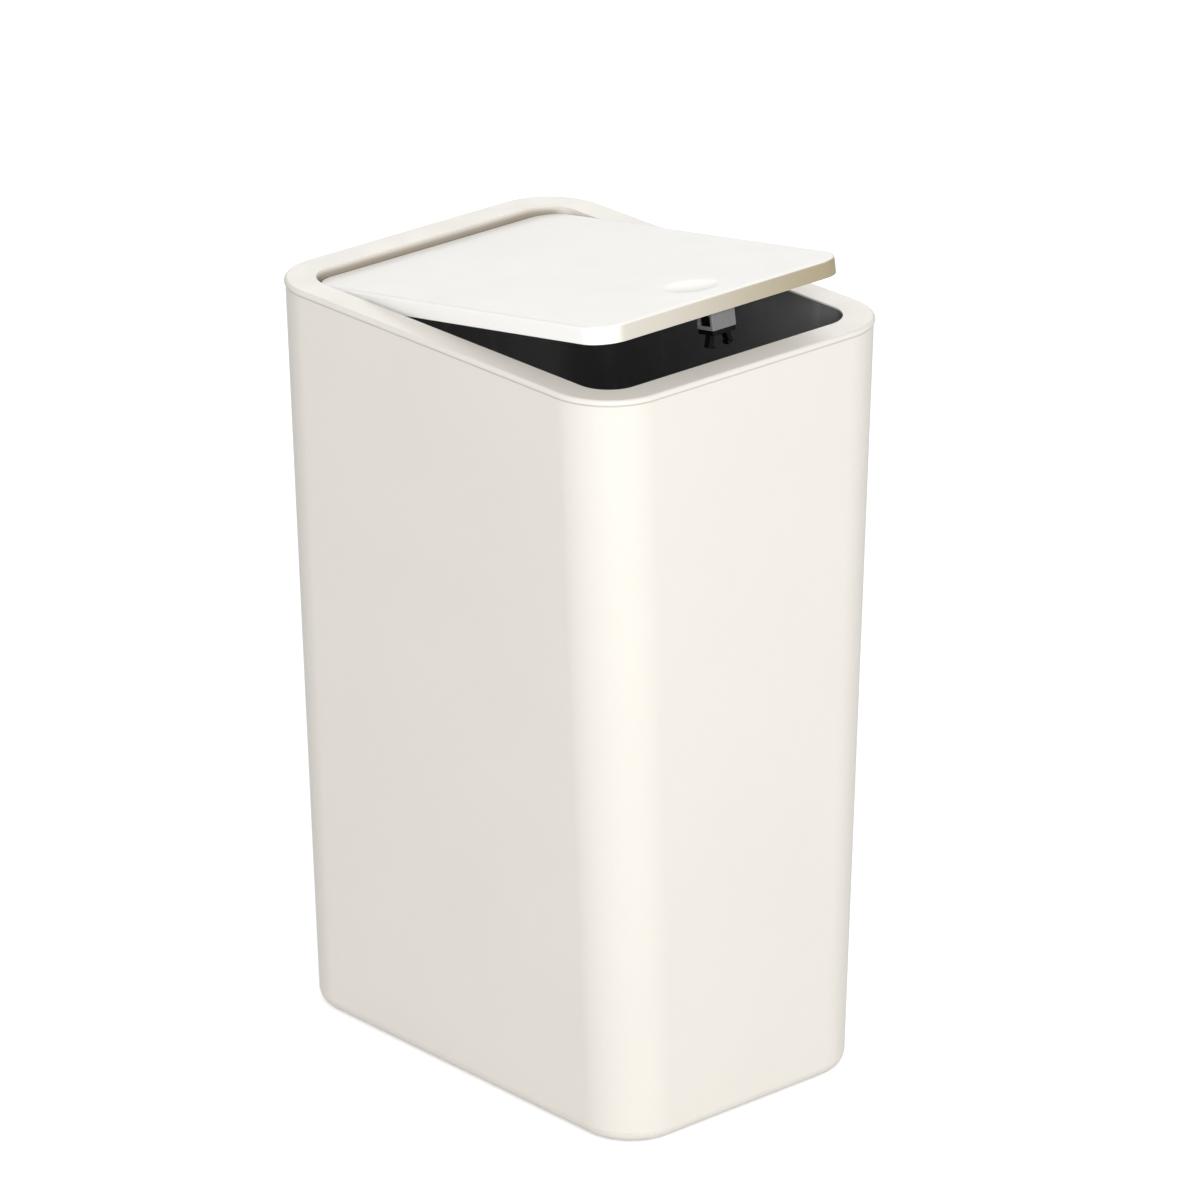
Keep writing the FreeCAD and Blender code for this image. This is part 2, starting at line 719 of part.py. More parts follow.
def lid_liner():
    """The flat panel that closes the lid from below, open round the hinges and the latch."""
    body = new_body("lid_liner")
    gap = sizes.lid_wall + sizes.liner_gap
    panel = Profile(body, "XY_Plane", lid_under).rounded(lid_x - gap, lid_y - gap, lid_corner - gap)
    pad(body, panel, sizes.liner_thickness)
    top = lid_under + sizes.liner_thickness
    half_x = sizes.housing_width / 2 + sizes.liner_gap
    half_y = sizes.housing_depth / 2 + sizes.liner_gap
    opening = Profile(body, "XY_Plane", top)
    opening.rectangle(-half_x, half_x, -(lid_y - sizes.lid_wall), latch_y + half_y)
    pocket(body, opening, sizes.liner_thickness)
    inner = lid_x - sizes.ear_inset - sizes.ear_thickness - sizes.liner_gap
    bays = Profile(body, "XY_Plane", top)
    for low, high in ((-lid_x, -inner), (inner, lid_x)):
        bays.rectangle(low, high, hinge_y - sizes.hinge_bay, hinge_y + sizes.ear_width)
    pocket(body, bays, sizes.liner_thickness)
    holes = Profile(body, "XY_Plane", top)
    for x, y in lid_screw_places():
        holes.circle(x, y, sizes.screw_shank_radius + sizes.hole_clearance)
    for x, y in latch_screw_places():
        holes.circle(x, y, sizes.small_screw_shank_radius + sizes.hole_clearance)
    pocket(body, holes, sizes.liner_thickness)
    return popped(body)


def screw(name, head_radius, head_height, shank_radius, length, sunk=False):
    """A cross-head screw that points up from the origin: head below it, or sunk above it."""
    base = ZERO if sunk else -head_height
    shank = rod(f"{name}_shank", "Z", (0, 0, base), shank_radius, length - base)
    if sunk:
        head = doc.addObject("Part::Cone", f"{name}_head")
        bind(head, "Radius1", head_radius)
        bind(head, "Radius2", shank_radius)
        bind(head, "Height", head_height)
    else:
        head = rod(f"{name}_head", "Z", (0, 0, base), head_radius, head_height)
    depth, half = sizes.screw_recess, sizes.screw_recess_width / 2
    arm = shank_radius * RECESS_SHARE
    one = block(f"{name}_recess", (-arm, -half, base - sizes.overrun), (arm, half, base + depth))
    two = block(f"{name}_recess", (-half, -arm, base - sizes.overrun), (half, arm, base + depth))
    return cut(name, fuse(f"{name}_solid", shank, head), one, two)


def lid_screws():
    """Four screws up through the liner into the cover's bosses."""
    screws = []
    for x, y in lid_screw_places():
        item = screw("lid_screw", sizes.screw_head_radius, sizes.screw_head_height,
                     sizes.screw_shank_radius, sizes.screw_length)
        item.Placement = Placement(vector(x, y, lid_under), Rotation())
        screws.append(item)
    return popped(group("lid_screws", *screws))


def latch_screws():
    """Two countersunk screws up through the flange of the latch housing."""
    screws = []
    for x, y in latch_screw_places():
        item = screw("latch_screw", sizes.small_screw_head_radius, sizes.small_screw_head_height,
                     sizes.small_screw_shank_radius, sizes.small_screw_length, sunk=True)
        item.Placement = Placement(vector(x, y, lid_under - sizes.flange_thickness), Rotation())
        screws.append(item)
    return popped(group("latch_screws", *screws))


def latch_housing():
    """The light grey housing of the push latch, hung from the lid by a screwed flange."""
    body = new_body("latch_housing")
    half_x, half_y = sizes.housing_width / 2, sizes.housing_depth / 2
    low_y, high_y = latch_y - half_y, latch_y + half_y
    block_profile = Profile(body, "XY_Plane", housing_bottom).rectangle(-half_x, half_x, low_y, high_y)
    pad(body, block_profile, housing_top - housing_bottom)
    flange_bottom = lid_under - sizes.flange_thickness
    reach = half_x + sizes.flange_reach
    flange = Profile(body, "XY_Plane", flange_bottom)
    flange.rectangle(-reach, reach, low_y + sizes.flange_setback, high_y)
    pad(body, flange, sizes.flange_thickness)
    wall = sizes.housing_wall
    cavity = Profile(body, "XY_Plane", housing_bottom)
    cavity.rectangle(wall - half_x, half_x - wall, low_y + wall, high_y - wall)
    pocket(body, cavity, housing_top - housing_bottom - sizes.housing_roof, forward=True)
    sill = housing_bottom + sizes.window_sill
    half_window = sizes.window_width / 2
    window = Profile(body, "YZ_Plane", -half_x)
    window.rectangle(latch_y - half_window, latch_y + half_window, sill, sill + sizes.window_height)
    pocket(body, window, sizes.housing_width, forward=True)
    eye = Profile(body, "YZ_Plane", half_x)
    eye.circle(latch_y, cam_top, sizes.cam_wire_radius + sizes.hinge_pin_fit)
    pocket(body, eye, wall)
    for x, y in latch_screw_places():
        cone_hole(body, x, y, flange_bottom)
    return popped(body)


def latch_mouth():
    """The black ring under the housing that the jaws are squeezed into."""
    body = new_body("latch_mouth")
    inset, wall = sizes.mouth_inset, sizes.housing_wall
    half_x, half_y = sizes.housing_width / 2, sizes.housing_depth / 2
    ring = Profile(body, "XY_Plane", slider_bottom)
    ring.rectangle(inset - half_x, half_x - inset, latch_y - half_y + inset, latch_y + half_y - inset)
    pad(body, ring, sizes.slider_show)
    opening = Profile(body, "XY_Plane", slider_bottom)
    opening.rectangle(wall - half_x, half_x - wall, latch_y - half_y + wall, latch_y + half_y - wall)
    pocket(body, opening, sizes.slider_show, forward=True)
    return popped(body)


def cone_hole(body, x, y, bottom):
    """A countersunk hole through the flange, wide end down."""
    gap = sizes.hole_clearance
    hole = Profile(body, "XY_Plane", bottom).circle(x, y, sizes.small_screw_shank_radius + gap)
    pocket(body, hole, sizes.flange_thickness, forward=True)
    lower = Profile(body, "XY_Plane", bottom).circle(x, y, sizes.small_screw_head_radius + gap)
    upper = Profile(body, "XY_Plane", bottom + sizes.small_screw_head_height)
    upper.circle(x, y, sizes.small_screw_shank_radius + gap)
    loft(body, lower, upper, cut=True)


def latch_slider():
    """The black sliding core of the latch: bottom plate, clevis for the jaws and spring bore."""
    body = new_body("latch_slider")
    wall = sizes.housing_wall + sizes.slider_gap
    half_x, half_y = sizes.housing_width / 2 - wall, sizes.housing_depth / 2 - wall
    plate = Profile(body, "XY_Plane", slider_bottom)
    plate.rectangle(-half_x, half_x, latch_y - half_y, latch_y + half_y)
    pad(body, plate, sizes.slider_plate)
    core_x = half_x - sizes.slider_shoulder
    core = Profile(body, "XY_Plane", slider_bottom)
    core.rectangle(-core_x, core_x, latch_y - half_y, latch_y + half_y)
    pad(body, core, sizes.slider_height)
    half_slot = sizes.slider_slot / 2
    slot = Profile(body, "YZ_Plane", -half_x)
    slot.rectangle(latch_y - half_slot, latch_y + half_slot, slider_bottom,
                   slider_bottom + sizes.slider_slot_height)
    pocket(body, slot, half_x * 2, forward=True)
    bore = Profile(body, "XY_Plane", slider_top).circle(0, latch_y, sizes.latch_bore_radius)
    pocket(body, bore, sizes.latch_bore_depth)
    holes = Profile(body, "XZ_Plane", -(latch_y + half_y))
    for x in (-sizes.jaw_pin_reach, sizes.jaw_pin_reach):
        holes.circle(x, jaw_pin_z, sizes.jaw_pin_radius + sizes.hinge_pin_fit)
    pocket(body, holes, half_y * 2, forward=True)
    half_groove = sizes.cam_groove_width / 2
    groove = Profile(body, "XY_Plane", slider_top)
    groove.rectangle(core_x - sizes.cam_groove_depth, half_x, latch_y - half_groove, latch_y + half_groove)
    pocket(body, groove, sizes.slider_height - sizes.slider_slot_height)
    return popped(body)


def jaw_pins():
    """Two steel pins across the slider's clevis, one for each jaw."""
    wall = sizes.housing_wall + sizes.slider_gap
    half_y = sizes.housing_depth / 2 - wall
    pins = [rod("jaw_pin", "Y", (x, latch_y - half_y, jaw_pin_z), sizes.jaw_pin_radius, half_y * 2)
            for x in (-sizes.jaw_pin_reach, sizes.jaw_pin_reach)]
    return popped(group("jaw_pins", *pins))


def latch_jaw(name, side):
    """One black jaw, drawn hanging straight down from its pin and then spread open."""
    half_y = sizes.slider_slot / 2 - sizes.jaw_side_gap
    low_y, high_y = latch_y - half_y, latch_y + half_y
    pin_x = sizes.jaw_pin_reach * side
    half = sizes.jaw_thickness / 2
    hook_top = jaw_pin_z - sizes.jaw_hook_depth
    tip = hook_top - sizes.jaw_hook_height
    barrel = rod(f"{name}_barrel", "Y", (pin_x, low_y, jaw_pin_z), sizes.jaw_barrel_radius, half_y * 2)
    shank = block(f"{name}_shank", (pin_x - half, low_y, tip), (pin_x + half, high_y, jaw_pin_z))
    reach = half + sizes.jaw_hook_reach
    near, far = (pin_x - reach, pin_x) if side > 0 else (pin_x, pin_x + reach)
    hook = block(f"{name}_hook", (near, low_y, tip), (far, high_y, hook_top))
    bore = rod(f"{name}_bore", "Y", (pin_x, low_y - sizes.overrun, jaw_pin_z),
               sizes.jaw_pin_radius + sizes.hinge_running_gap, half_y * 2 + sizes.overrun * 2)
    jaw = cut(name, fuse(f"{name}_solid", barrel, shank, hook), bore)
    spread = Rotation(Vector(0, 1, 0), -side * sizes.jaw_spread.number)
    jaw.Placement = Placement(Vector(), spread, vector(pin_x, latch_y, jaw_pin_z))
    return popped(jaw)


def striker():
    """The steel post on the rim frame's tongue that the two jaws grip when the lid is shut."""
    half = sizes.tongue_width / 2 - sizes.striker_plate_inset
    head_under = hook_line() + sizes.head_clearance
    arm_top = head_under - sizes.neck_height
    arm_bottom = arm_top - sizes.striker_arm_height
    middle = striker_screw_z()
    tall = sizes.striker_plate_height / 2
    face = tongue_face_y + sizes.striker_plate
    plate = block("striker_plate", (-half, tongue_face_y, middle - tall), (half, face, middle + tall))
    arm = sizes.striker_arm_width / 2
    arm_block = block("striker_arm", (-arm, tongue_face_y, arm_bottom), (arm, latch_y, arm_top))
    arm_end = rod("striker_arm_end", "Z", (0, latch_y, arm_bottom), arm, sizes.striker_arm_height)
    neck = rod("striker_neck", "Z", (0, latch_y, arm_bottom), sizes.neck_radius,
               sizes.striker_arm_height + sizes.neck_height)
    head = doc.addObject("Part::Cone", "striker_head")
    bind(head, "Radius1", sizes.head_radius)
    bind(head, "Radius2", sizes.neck_radius)
    bind(head, "Height", sizes.head_height)
    bind(head, "Placement.Base.y", latch_y)
    bind(head, "Placement.Base.z", head_under)
    solid = fuse("striker_solid", plate, arm_block, arm_end, neck, head)
    holes = [rod("striker_hole", "Y", (x, tongue_face_y - sizes.overrun, middle),
                 sizes.small_screw_shank_radius + sizes.hole_clearance, sizes.overrun * 2)
             for x in (-sizes.striker_screw_reach, sizes.striker_screw_reach)]
    return cut("striker", solid, *holes)


def hook_line():
    """Height of the jaws' hooks when the lid is shut and the slider is pushed in."""
    return jaw_pin_z + sizes.latch_travel - sizes.jaw_hook_depth


def striker_screw_z():
    """Height of the striker's two screws, in line with the middle of its arm."""
    arm_top = hook_line() + sizes.head_clearance - sizes.neck_height
    return arm_top - sizes.striker_arm_height / 2


def striker_screws():
    """Two screws through the striker's plate into the tongue."""
    screws = []
    face = tongue_face_y + sizes.striker_plate
    for x in (-sizes.striker_screw_reach, sizes.striker_screw_reach):
        item = screw("striker_screw", sizes.small_screw_head_radius, sizes.small_screw_head_height,
                     sizes.small_screw_shank_radius, sizes.striker_plate + sizes.tongue_wall)
        turn = Rotation(Vector(1, 0, 0), 90)
        item.Placement = Placement(vector(x, face, striker_screw_z()), turn)
        screws.append(item)
    return group("striker_screws", *screws)


def biarc(start, leaving, end, arriving):
    """Two arcs that join two points with the given unit directions, tangent to each other."""
    chord = end - start
    both = leaving + arriving
    spread = 2 * (1 - leaving.dot(arriving))
    along = chord.dot(both)
    if spread < 1e-9:
        reach = chord.dot(chord) / (2 * along)
    else:
        reach = (math.sqrt(along * along + spread * chord.dot(chord)) - along) / spread
    joint = (start + end + (leaving - arriving) * reach) * 0.5
    return [arc_between(start, start + leaving * reach, joint),
            arc_between(joint, end - arriving * reach, end)]


def arc_between(start, corner, end):
    """The arc from start to end whose end tangents meet at the corner."""
    middle = (start + end) * 0.5
    half_chord = (end - start).Length / 2
    height = (corner - middle).Length
    half_turn = math.atan2(height, half_chord)
    rise = half_chord * math.tan(half_turn / 2)
    return Part.Arc(start, middle + (corner - middle).normalize() * rise, end).toShape()


def coil_edges(point_at, first, last, quarters):
    """Edges of a coil through points a quarter turn or less apart, and its end points."""
    step = (last - first) / quarters
    tiny = step * 1e-4
    points, ways = [], []
    for index in range(quarters + 1):
        turn = first + index * step
        points.append(point_at(turn))
        ways.append((point_at(turn + tiny) - point_at(turn - tiny)).normalize())
    edges = []
    for index in range(quarters):
        edges += biarc(points[index], ways[index], points[index + 1], ways[index + 1])
    return edges, points, ways


def wire_tube(name, edges, start, way, wire_radius):
    """One unbroken round wire swept along the edges."""
    path = Part.Wire(edges)
    ring = Part.Wire(Part.Circle(start, way, wire_radius).toShape())
    tube = path.makePipeShell([ring], True, False)
    solid = Part.Solid(tube) if tube.ShapeType != "Solid" else tube
    wanted = math.pi * wire_radius ** 2 * path.Length
    if abs(solid.Volume - wanted) > wanted * 0.02:
        raise RuntimeError(f"{name}: volume {solid.Volume:.3f}, section times length {wanted:.3f}")
    item = doc.addObject("Part::Feature", name)
    item.Shape = solid
    return item


def hinge_spring(name, side):
    """One torsion spring round a hinge pin: a leg under the lid cover and a leg on the ledge."""
    radius, pitch = sizes.torsion_coil_radius.number, sizes.torsion_pitch.number
    centre_y, centre_z = hinge_y.number, hinge_z.number
    first = math.radians(sizes.popped_angle.number)
    last = 2 * math.pi * TORSION_TURNS + math.pi - math.radians(sizes.torsion_fixed_angle.number)
    inner = (lid_x - sizes.ear_inset + sizes.torsion_inset).number - pitch

    def point_at(turn):
        x = inner + pitch * (turn - first) / (2 * math.pi)
        return Vector(side * x, centre_y + radius * math.sin(turn), centre_z + radius * math.cos(turn))

    quarters = math.ceil((last - first) / (2 * math.pi) * POINTS_PER_TURN)
    edges, points, ways = coil_edges(point_at, first, last, quarters)
    tip = points[0] - ways[0] * sizes.torsion_moving_leg.number
    heel = points[-1] + ways[-1] * sizes.torsion_fixed_leg.number
    edges = [Part.LineSegment(tip, points[0]).toShape()] + edges
    edges.append(Part.LineSegment(points[-1], heel).toShape())
    wire = sizes.torsion_wire.number
    print(f"{name}: least gap between turns {pitch - wire:.2f} mm")
    return wire_tube(name, edges, tip, ways[0], wire / 2)


def latch_spring():
    """The compression spring between the slider's bore and the housing's roof."""
    low = (slider_top - sizes.latch_bore_depth + sizes.spring_end_gap).number
    high = (housing_top - sizes.housing_roof - sizes.spring_end_gap).number
    wire, radius = sizes.latch_wire.number, sizes.latch_coil_radius.number
    turns = sizes.latch_coil_turns.number
    pitch = (high - low - wire) / turns

    def point_at(turn):
        rise = low + wire / 2 + pitch * turn / (2 * math.pi)
        return Vector(radius * math.cos(turn), latch_y.number + radius * math.sin(turn), rise)

    quarters = math.ceil(turns * POINTS_PER_TURN)
    edges, points, ways = coil_edges(point_at, 0, 2 * math.pi * turns, quarters)
    print(f"latch_spring: least gap between turns {pitch - wire:.2f} mm")
    return popped(wire_tube("latch_spring", edges, points[0], ways[0], wire / 2))


def latch_cam_pin():
    """The bent wire pin that follows the slider's groove and holds it pushed in or out."""
    radius = sizes.cam_wire_radius
    wall = sizes.housing_wall
    x = sizes.housing_width / 2 - wall - sizes.slider_gap / 2 - radius
    low = slider_top - sizes.cam_tip_drop
    high = cam_top
    stem = rod("cam_stem", "Z", (x, latch_y, low), radius, high - low)
    tip = rod("cam_tip", "X", (x - sizes.cam_groove_depth, latch_y, low), radius, sizes.cam_groove_depth)
    eye = rod("cam_eye", "X", (x, latch_y, high), radius, sizes.housing_width / 2 - x)
    corners = []
    for height in (low, high):
        corner = doc.addObject("Part::Sphere", "cam_corner")
        bind(corner, "Radius", radius)
        bind(corner, "Placement.Base.x", x)
        bind(corner, "Placement.Base.y", latch_y)
        bind(corner, "Placement.Base.z", height)
        corners.append(corner)
    return popped(fuse("latch_cam_pin", stem, tip, eye, *corners))


pieces = {
    "outer_shell": outer_shell(),
    "foot_pads": foot_pads(),
    "inner_bucket": inner_bucket(),
    "rim_frame": rim_frame(),
    "striker": striker(),
    "striker_screws": striker_screws(),
    "hinge_pin_left": hinge_pin("hinge_pin_left", -1),
    "hinge_pin_right": hinge_pin("hinge_pin_right", 1),
    "hinge_spring_left": hinge_spring("hinge_spring_left", -1),
    "hinge_spring_right": hinge_spring("hinge_spring_right", 1),
    "lid_cover": lid_cover(),
    "lid_liner": lid_liner(),
    "lid_screws": lid_screws(),
    "latch_housing": latch_housing(),
    "latch_mouth": latch_mouth(),
    "latch_screws": latch_screws(),
    "latch_cam_pin": latch_cam_pin(),
    "latch_spring": latch_spring(),
    "latch_slider": latch_slider(),
    "jaw_pins": jaw_pins(),
    "latch_jaw_left": latch_jaw("latch_jaw_left", -1),
    "latch_jaw_right": latch_jaw("latch_jaw_right", 1),
}
doc.recompute()

for item in doc.Objects:
    if "Invalid" in item.State or "Error" in item.State:
        raise RuntimeError(f"{item.Label} failed: {item.State}")

os.makedirs("parts", exist_ok=True)
for node, item in pieces.items():
    item.Label = node
    shape = item.Shape
    if shape.isNull() or not shape.isValid():
        raise RuntimeError(f"{node} has no valid shape")
    shape.exportStep(f"parts/{node}.step")
    box = shape.BoundBox
    print(f"{node}: {len(shape.Solids)} solid(s), {shape.Volume:.1f} mm3, "
          f"x {box.XMin:.1f} {box.XMax:.1f}, y {box.YMin:.1f} {box.YMax:.1f}, z {box.ZMin:.1f} {box.ZMax:.1f}")
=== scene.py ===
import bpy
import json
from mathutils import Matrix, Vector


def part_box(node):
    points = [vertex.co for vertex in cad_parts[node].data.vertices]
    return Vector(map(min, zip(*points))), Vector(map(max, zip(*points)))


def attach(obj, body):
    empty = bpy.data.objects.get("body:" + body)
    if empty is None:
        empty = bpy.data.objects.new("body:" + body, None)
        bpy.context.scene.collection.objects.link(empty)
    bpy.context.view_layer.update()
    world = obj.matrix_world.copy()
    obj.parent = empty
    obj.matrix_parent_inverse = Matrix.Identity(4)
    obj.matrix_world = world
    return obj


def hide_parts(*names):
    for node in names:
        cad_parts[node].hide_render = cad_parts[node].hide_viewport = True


bl_info = {
    "name": "Push-Button Waste Bin",
    "version": (1, 0, 0),
    "blender": (4, 5, 0),
    "location": "View3D > Sidebar > Waste Bin",
    "description": "Dresses the packed waste bin in moulded plastic, rubber and steel",
    "category": "Add Mesh",
}

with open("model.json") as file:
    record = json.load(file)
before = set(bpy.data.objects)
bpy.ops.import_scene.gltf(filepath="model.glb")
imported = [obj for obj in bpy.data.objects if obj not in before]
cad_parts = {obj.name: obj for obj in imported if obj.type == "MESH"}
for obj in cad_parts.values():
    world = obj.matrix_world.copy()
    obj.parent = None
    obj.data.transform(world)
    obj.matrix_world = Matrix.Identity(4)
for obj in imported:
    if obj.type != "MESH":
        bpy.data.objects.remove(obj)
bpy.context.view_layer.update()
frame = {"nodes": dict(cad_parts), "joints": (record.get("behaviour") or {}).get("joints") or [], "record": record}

import json
import math

import bmesh
import bpy
from mathutils import Matrix, Vector

MM = 0.001

# Steps in each quarter turn of an outline's corner, in a rounded edge, and in two finer kinds of edge
CORNER_STEPS = 24
EDGE_STEPS = 6
SEAM_STEPS = 4
SMALL_STEPS = 3

# Steps round a hinge boss, round the end of a hinge ear and round a jaw's eye
BOSS_STEPS = 48
EAR_STEPS = 24
EYE_STEPS = 28

# Steps along each side of the latch's flange, and rings down into the lid's hollow
FLANGE_STEPS = 12
DISH_STEPS = 15

# Turns between two faces above which a bar's edge is softened, a moulding's edge stays sharp,
# and the latch housing's edge is bevelled
SOFTENED_TURN = math.radians(30)
SHARP_TURN = math.radians(32)
HOUSING_TURN = math.radians(50)

# The studio floor's reach in metres, its glow to the camera, and the strength of the light all round
FLOOR_REACH = 20
FLOOR_GLOW = 0.45
ROOM_LIGHT = 0.60


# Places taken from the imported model
def joint(name):
    return next(item for item in frame["joints"] if item["name"] == name)


HINGE = Vector(joint("lid_hinge")["pos_m"])
POPPED = math.atan2(joint("latch_slide")["axis"][1], joint("latch_slide")["axis"][2])
JAW_SPREAD = math.radians(joint("jaw_left_pivot")["range_deg"][1])


def lid_frame():
    """The matrix from the shut lid's coordinates to the popped-up lid's."""
    turn = Matrix.Rotation(-POPPED, 4, "X")
    return Matrix.Translation(HINGE) @ turn @ Matrix.Translation(-HINGE)


def shut_box(node):
    """Lowest and highest corner of one of the lid's nodes, as it lies when the lid is shut."""
    back = lid_frame().inverted()
    points = [back @ vertex.co for vertex in frame["nodes"][node].data.vertices]
    return [Vector(pick(point[axis] for point in points) for axis in range(3)) for pick in (min, max)]


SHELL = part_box("outer_shell")
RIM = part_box("rim_frame")
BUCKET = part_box("inner_bucket")
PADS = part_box("foot_pads")
LID = shut_box("lid_cover")
HOUSING = shut_box("latch_housing")
MOUTH = shut_box("latch_mouth")
SLIDER = shut_box("latch_slider")
JAW_PINS = shut_box("jaw_pins")
LATCH_Y = (HOUSING[0].y + HOUSING[1].y) / 2
BIN_MIDDLE = Vector((0, 0, RIM[1].z / 2))


# Properties
def length(label, description, millimetres):
    return bpy.props.FloatProperty(
        name=label, description=description, default=millimetres * MM, unit="LENGTH", precision=4)


def angle(label, description, degrees):
    return bpy.props.FloatProperty(
        name=label, description=description, default=math.radians(degrees), subtype="ANGLE")


def colour(label, description, value):
    return bpy.props.FloatVectorProperty(
        name=label, description=description, default=value, size=3, subtype="COLOR", min=0, max=1)


class BinSizes(bpy.types.PropertyGroup):
    """Sizes of the bin's visible mouldings."""

    shell_corner: length("Casing Corner", "Radius of the casing's upright corners at the top", 29.0)
    shell_base_corner: length("Casing Base Corner", "Radius of the upright corners at the base", 26.0)
    shell_side_taper: length("Side Taper", "How far each side leans in towards the base", 14.0)
    shell_end_taper: length("End Taper", "How far the front and back lean in towards the base", 1.0)
    shell_wall: length("Casing Wall", "Thickness of the casing's walls", 2.2)
    shell_floor: length("Casing Floor", "Thickness of the casing's floor", 3.2)
    shell_base_round: length("Base Edge", "Radius of the casing's lower edge", 6.0)
    seam: length("Seam", "Width of the softened edges that meet at the seam", 0.5)
    pad_radius: length("Pad Radius", "Radius of each foot pad's recess", 8.0)
    pad_inset: length("Pad Inset", "Distance of each pad's middle from the casing's sides", 26.0)

    rim_width: length("Rim Width", "Width of the flat frame round the opening", 13.5)
    rim_overhang: length("Rim Overhang", "How far the rim stands proud of the casing", 0.6)
    rim_thickness: length("Rim Thickness", "Thickness of the rim's top plate", 2.2)
    rim_round: length("Rim Edge", "Radius of the rim's outer top edge", 1.6)
    rim_inner_round: length("Opening Edge", "Radius of the rim's inner top edge", 0.35)
    opening_corner: length("Opening Corner", "Radius of the opening's corners", 15.5)
    lip: length("Lip", "Thickness of the rim at the opening's edge", 0.8)
    lip_width: length("Lip Width", "Width of the thin lip round the opening", 3.0)
    skirt_wall: length("Skirt Wall", "Thickness of the rim's locating skirt", 1.8)
    skirt_clearance: length("Skirt Clearance", "Gap between the skirt and the casing's inside", 1.3)
    skirt_depth: length("Skirt Depth", "Height of the locating skirt", 18.0)
    cradle_wall: length("Cradle Wall", "Thickness of the hinge cradle's wall", 2.4)
    cradle_depth: length("Cradle Depth", "Depth of the hinge cradle below the rim's top", 26.0)
    cradle_reach: length("Cradle Reach", "How far the cradle's arms reach in front of the hinge", 17.0)
    boss_radius: length("Boss Radius", "Radius of the hinge bosses", 3.6)
    boss_length: length("Boss Length", "Length of the hinge bosses", 6.5)
    ledge_length: length("Ledge Length", "Reach of each spring ledge over the opening", 15.5)
    ledge_depth: length("Ledge Depth", "Front-to-back depth of each spring ledge", 6.0)
    ledge_thickness: length("Ledge Thickness", "Thickness of each spring ledge", 3.0)
    ledge_drop: length("Ledge Drop", "Depth of the ledges' tops below the hinge", 9.6)
    ledge_setback: length("Ledge Setback", "Distance of the ledges in front of the hinge", 5.5)
    tongue_width: length("Tongue Width", "Width of the striker's tongue", 18.0)
    tongue_wall: length("Tongue Wall", "Thickness of the striker's tongue", 2.4)
    tongue_rib: length("Tongue Rib", "Thickness of the tongue's side ribs", 1.8)
    tongue_gap: length("Tongue Gap", "Distance of the tongue behind the opening's edge", 0.7)

    bucket_wall: length("Bucket Wall", "Thickness of the inner bucket's walls", 1.8)
    bucket_floor: length("Bucket Floor", "Thickness of the inner bucket's floor", 2.0)
    bucket_edge_gap: length("Bucket Edge Gap", "Distance of the bucket's mouth behind the opening", 0.4)
    bucket_side_gap: length("Bucket Side Gap", "Gap between the bucket's base and the casing's sides", 2.8)
    bucket_end_gap: length("Bucket End Gap", "Gap between the bucket's base and the casing's ends", 10.8)
    bucket_base_corner: length("Bucket Base Corner", "Radius of the bucket's corners at its base", 20.0)
    bucket_base_round: length("Bucket Base Edge", "Radius of the bucket's lower edge", 7.0)
    bucket_lip: length("Bucket Lip", "Thickness of the bucket's carrying lip", 1.7)
    bucket_lip_width: length("Bucket Lip Width", "Reach of the carrying lip", 5.0)
    bucket_lip_gap: length("Bucket Lip Gap", "Gap between the carrying lip and the rim", 0.6)
    rear_notch_gap: length("Rear Notch Gap", "Clearance of the bucket round the hinge cradle", 0.8)
    front_notch_gap: length("Front Notch Gap", "Clearance of the bucket round the tongue", 2.5)

    lid_gap: length("Lid Gap", "Gap between the lid and the rim all round", 1.8)
    lid_thickness: length("Lid Thickness", "Height of the lid's edge", 8.0)
    lid_wall: length("Lid Wall", "Thickness of the lid's cover", 2.0)
    lid_round: length("Lid Edge", "Radius of the lid's upper edge", 1.5)
    lid_lower_round: length("Lid Lower Edge", "Radius of the lid's lower edge", 0.3)
    dish_radius: length("Dish Radius", "Radius of the hollow that is pressed", 12.0)
    dish_depth: length("Dish Depth", "Depth of the hollow that is pressed", 0.9)
    dish_setback: length("Dish Setback", "Distance of the hollow's middle from the lid's front", 22.0)
    dish_edge: length("Dish Edge", "Width of the softened edge round the hollow", 0.35)
    ear_width: length("Ear Width", "Width of the lid's hinge ears", 8.0)
    ear_thickness: length("Ear Thickness", "Thickness of the lid's hinge ears", 3.0)
    ear_inset: length("Ear Inset", "Distance of the ears from the lid's sides", 13.7)
    hinge_pin: length("Hinge Pin", "Radius of the hinge dowels' bores", 1.55)

